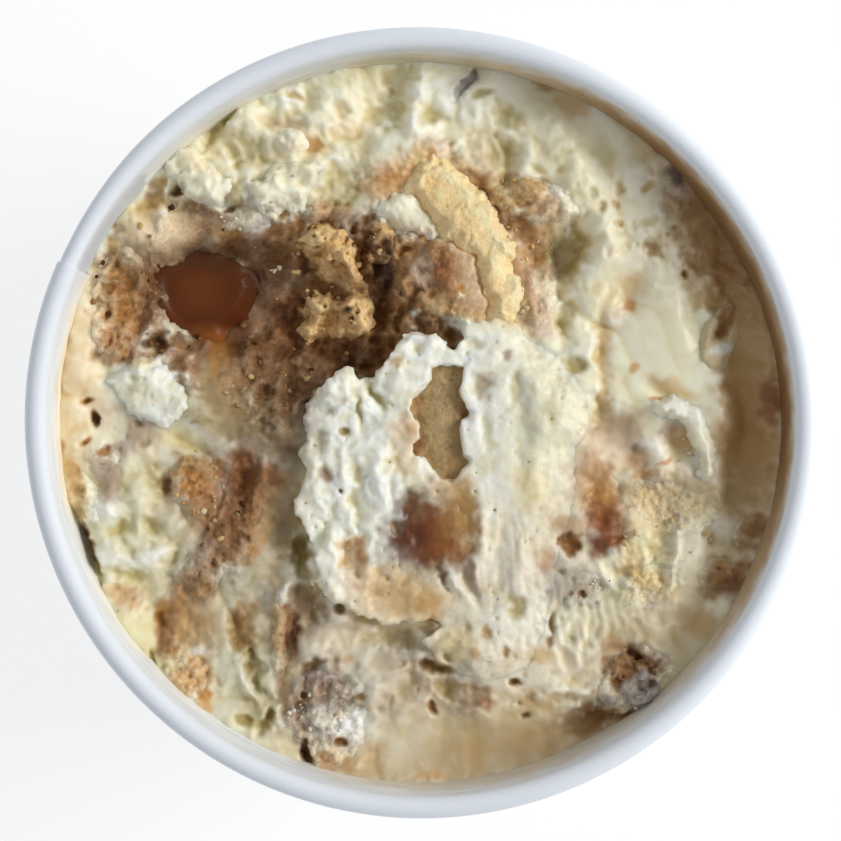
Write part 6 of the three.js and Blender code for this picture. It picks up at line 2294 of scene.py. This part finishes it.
@dataclass(frozen=True)
class Finish:
    """What a surface is made of.

    Attributes:
        name: The material's name.
        size: Width of its grain, in mm.
        tone: How strongly the grain varies the colour.
        dry: Roughness where it is dry.
        damp: Roughness where it is wet.
        bump: Height of the grain, in mm.
        glow: How much light goes through it under the surface, from 0 to 1.
        reach: How far that light goes, in mm.
        shine: Specular level.
    """

    name: str
    size: float
    tone: float
    dry: float
    damp: float
    bump: float
    glow: float = 0.0
    reach: float = 1.0
    shine: float = 0.5

    def material(self) -> bpy.types.Material:
        """Makes the material on first use.

        Returns:
            The material.
        """
        if self.name in bpy.data.materials:
            return bpy.data.materials[self.name]
        material = bpy.data.materials.new(self.name)
        material.use_nodes = True
        tree = material.node_tree
        shader = tree.nodes["Principled BSDF"].inputs
        tint, wet = tree.nodes.new("ShaderNodeAttribute"), tree.nodes.new("ShaderNodeAttribute")
        tint.attribute_name, wet.attribute_name = "tint", "wet"
        grain = tree.nodes.new("ShaderNodeGroup")
        grain.node_tree = grain_group()
        for label, value in (("Size", self.size), ("Tone", self.tone), ("Dry", self.dry), ("Damp", self.damp)):
            grain.inputs[label].default_value = value
        bump = node_at(tree, "ShaderNodeBump", Distance=self.bump * MM, Strength=1.0)
        join(tree, (tint.outputs["Color"], grain.inputs["Tint"]), (wet.outputs["Fac"], grain.inputs["Wet"]),
             (grain.outputs["Colour"], shader["Base Color"]), (grain.outputs["Roughness"], shader["Roughness"]),
             (grain.outputs["Height"], bump.inputs["Height"]), (bump.outputs["Normal"], shader["Normal"]))
        for label, value in (
            ("Specular IOR Level", self.shine), ("Subsurface Weight", self.glow),
            ("Subsurface Radius", (1.0, 0.8, 0.55)), ("Subsurface Scale", self.reach * MM),
        ):
            shader[label].default_value = value
        return material


FINISHES = {
    "cream": Finish("whipped_cream", 0.5, 0.03, 0.44, 0.28, 0.04, 0.6, 1.2, 0.35),
    "sponge": Finish("sponge_finger", 0.3, 0.16, 0.85, 0.5, 0.16, 0.3, 0.6, 0.2),
    "date_sponge": Finish("date_sponge_crumb", 0.35, 0.5, 0.8, 0.45, 0.12, 0.3, 0.8, 0.15),
    "golden_crumb": Finish("golden_sponge_crumb", 0.35, 0.4, 0.75, 0.4, 0.12, 0.4, 0.8, 0.2),
    "soaked_sponge": Finish("soaked_sponge_crumb", 0.35, 0.4, 0.6, 0.35, 0.12, 0.35, 0.8, 0.25),
    "date": Finish("date_flesh", 0.7, 0.25, 0.45, 0.3, 0.05, 0.15, 0.6, 0.3),
    "syrup": Finish("date_syrup", 3.0, 0.15, 0.35, 0.34, 0.02, 0.1, 1.5, 0.1),
    "nut": Finish("pale_crumb", 0.4, 0.14, 0.6, 0.4, 0.1, 0.3, 0.6, 0.3),
    "tub_paper": Finish("paper_board", 0.55, 0.02, 0.55, 0.45, 0.02, 0.05, 0.4, 0.35),
}


# ---- The studio


@dataclass
class Studio:
    """The pale floor, the soft light and the camera.

    Attributes:
        eye: How high the camera stands, in heights of the tub.
        lens: Focal length on a 36 mm sensor, in mm.
    """

    eye: float = 6.0
    lens: float = 106.35

    def build_floor(self) -> None:
        """Lays a floor that stays pale where it is lit."""
        deselect()
        bpy.ops.mesh.primitive_circle_add(vertices=96, radius=3.0, fill_type="NGON")
        floor = started("floor")
        material = bpy.data.materials.new("pale_floor")
        material.use_nodes = True
        tree = material.node_tree
        shader = tree.nodes["Principled BSDF"]
        noise = node_at(tree, "ShaderNodeTexNoise", Scale=40.0, Detail=3.0)
        ramp = tree.nodes.new("ShaderNodeValToRGB")
        ramp.color_ramp.elements[0].color = (0.3, 0.3, 0.3, 1)
        ramp.color_ramp.elements[1].color = (0.33, 0.33, 0.33, 1)
        tree.links.new(noise.outputs["Fac"], ramp.inputs["Fac"])
        tree.links.new(ramp.outputs["Color"], shader.inputs["Base Color"])
        shader.inputs["Roughness"].default_value = 0.9
        shader.inputs["Specular IOR Level"].default_value = 0.0
        shader.inputs["Emission Color"].default_value = (1, 1, 1, 1)
        shader.inputs["Emission Strength"].default_value = 0.74
        floor.data.materials.append(material)

    def build_light(self) -> None:
        """Sets a wide low light on the right and a pale sky."""
        world = bpy.data.worlds.new("sky")
        world.use_nodes = True
        back = world.node_tree.nodes["Background"]
        back.inputs["Color"].default_value = (0.93, 0.96, 1.0, 1)
        back.inputs["Strength"].default_value = 0.46
        bpy.context.scene.world = world
        turn, lift, gap = math.radians(10), math.radians(33), 1.2
        lamp = bpy.data.lights.new("window", "AREA")
        lamp.shape, lamp.size, lamp.size_y = "RECTANGLE", 0.6, 0.45
        lamp.energy, lamp.color = 10.1, (1.0, 0.97, 0.92)
        light = bpy.data.objects.new("window", lamp)
        bpy.context.collection.objects.link(light)
        spot = Vector((math.cos(turn) * math.cos(lift), math.sin(turn) * math.cos(lift), math.sin(lift)))
        light.location = spot * gap + Vector((0, 0, CAD_BOX[1].z))
        light.rotation_euler = spot.to_track_quat("Z", "Y").to_euler()

    def build_camera(self) -> None:
        """Sets the camera straight over the tub."""
        camera = bpy.data.cameras.new("camera")
        camera.lens, camera.sensor_width = self.lens, 36.0
        camera.clip_start, camera.clip_end = 0.01, 20.0
        eye = bpy.data.objects.new("camera", camera)
        bpy.context.collection.objects.link(eye)
        eye.location = (0.0, 0.00023, self.eye * CAD_BOX[1].z)
        bpy.context.scene.camera = eye
        bpy.context.scene.view_settings.view_transform = "Standard"


def main() -> None:
    """Builds the studio, the tub and the food."""
    logging.basicConfig(level=logging.INFO, format="%(message)s")
    studio = Studio()
    studio.build_floor()
    studio.build_light()
    studio.build_camera()
    food = Food()
    tub = Tub()
    wall = tub.build_wall()
    tub.paint_wall(wall, food)
    settle(wall, "tub_paper", "tub_wall")
    settle(tub.build_base(), "tub_paper", "tub_base")
    for morsel in MORSELS:
        morsel.sink(food)
    food.sink(OUTLINES["syrup_pool"], 1.6)
    bed_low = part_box("cream_bed")[0].z / MM
    bed = CreamBed(float(wall_at(food.edge)) + 0.25, bed_low, float(wall_at(bed_low)) - 0.3)
    settle(bed.build(food), "cream", "cream_bed")
    settle(Scoop().build(food), "cream", "cream_scoop")
    for morsel in MORSELS:
        settle(morsel.build(food), morsel.slot, morsel.node)
    settle(SyrupPool().build(food), "syrup", "syrup_pool")
    for litter in LITTER:
        settle(litter.build(food), litter.slot)


if __name__ == "__main__":
    main()
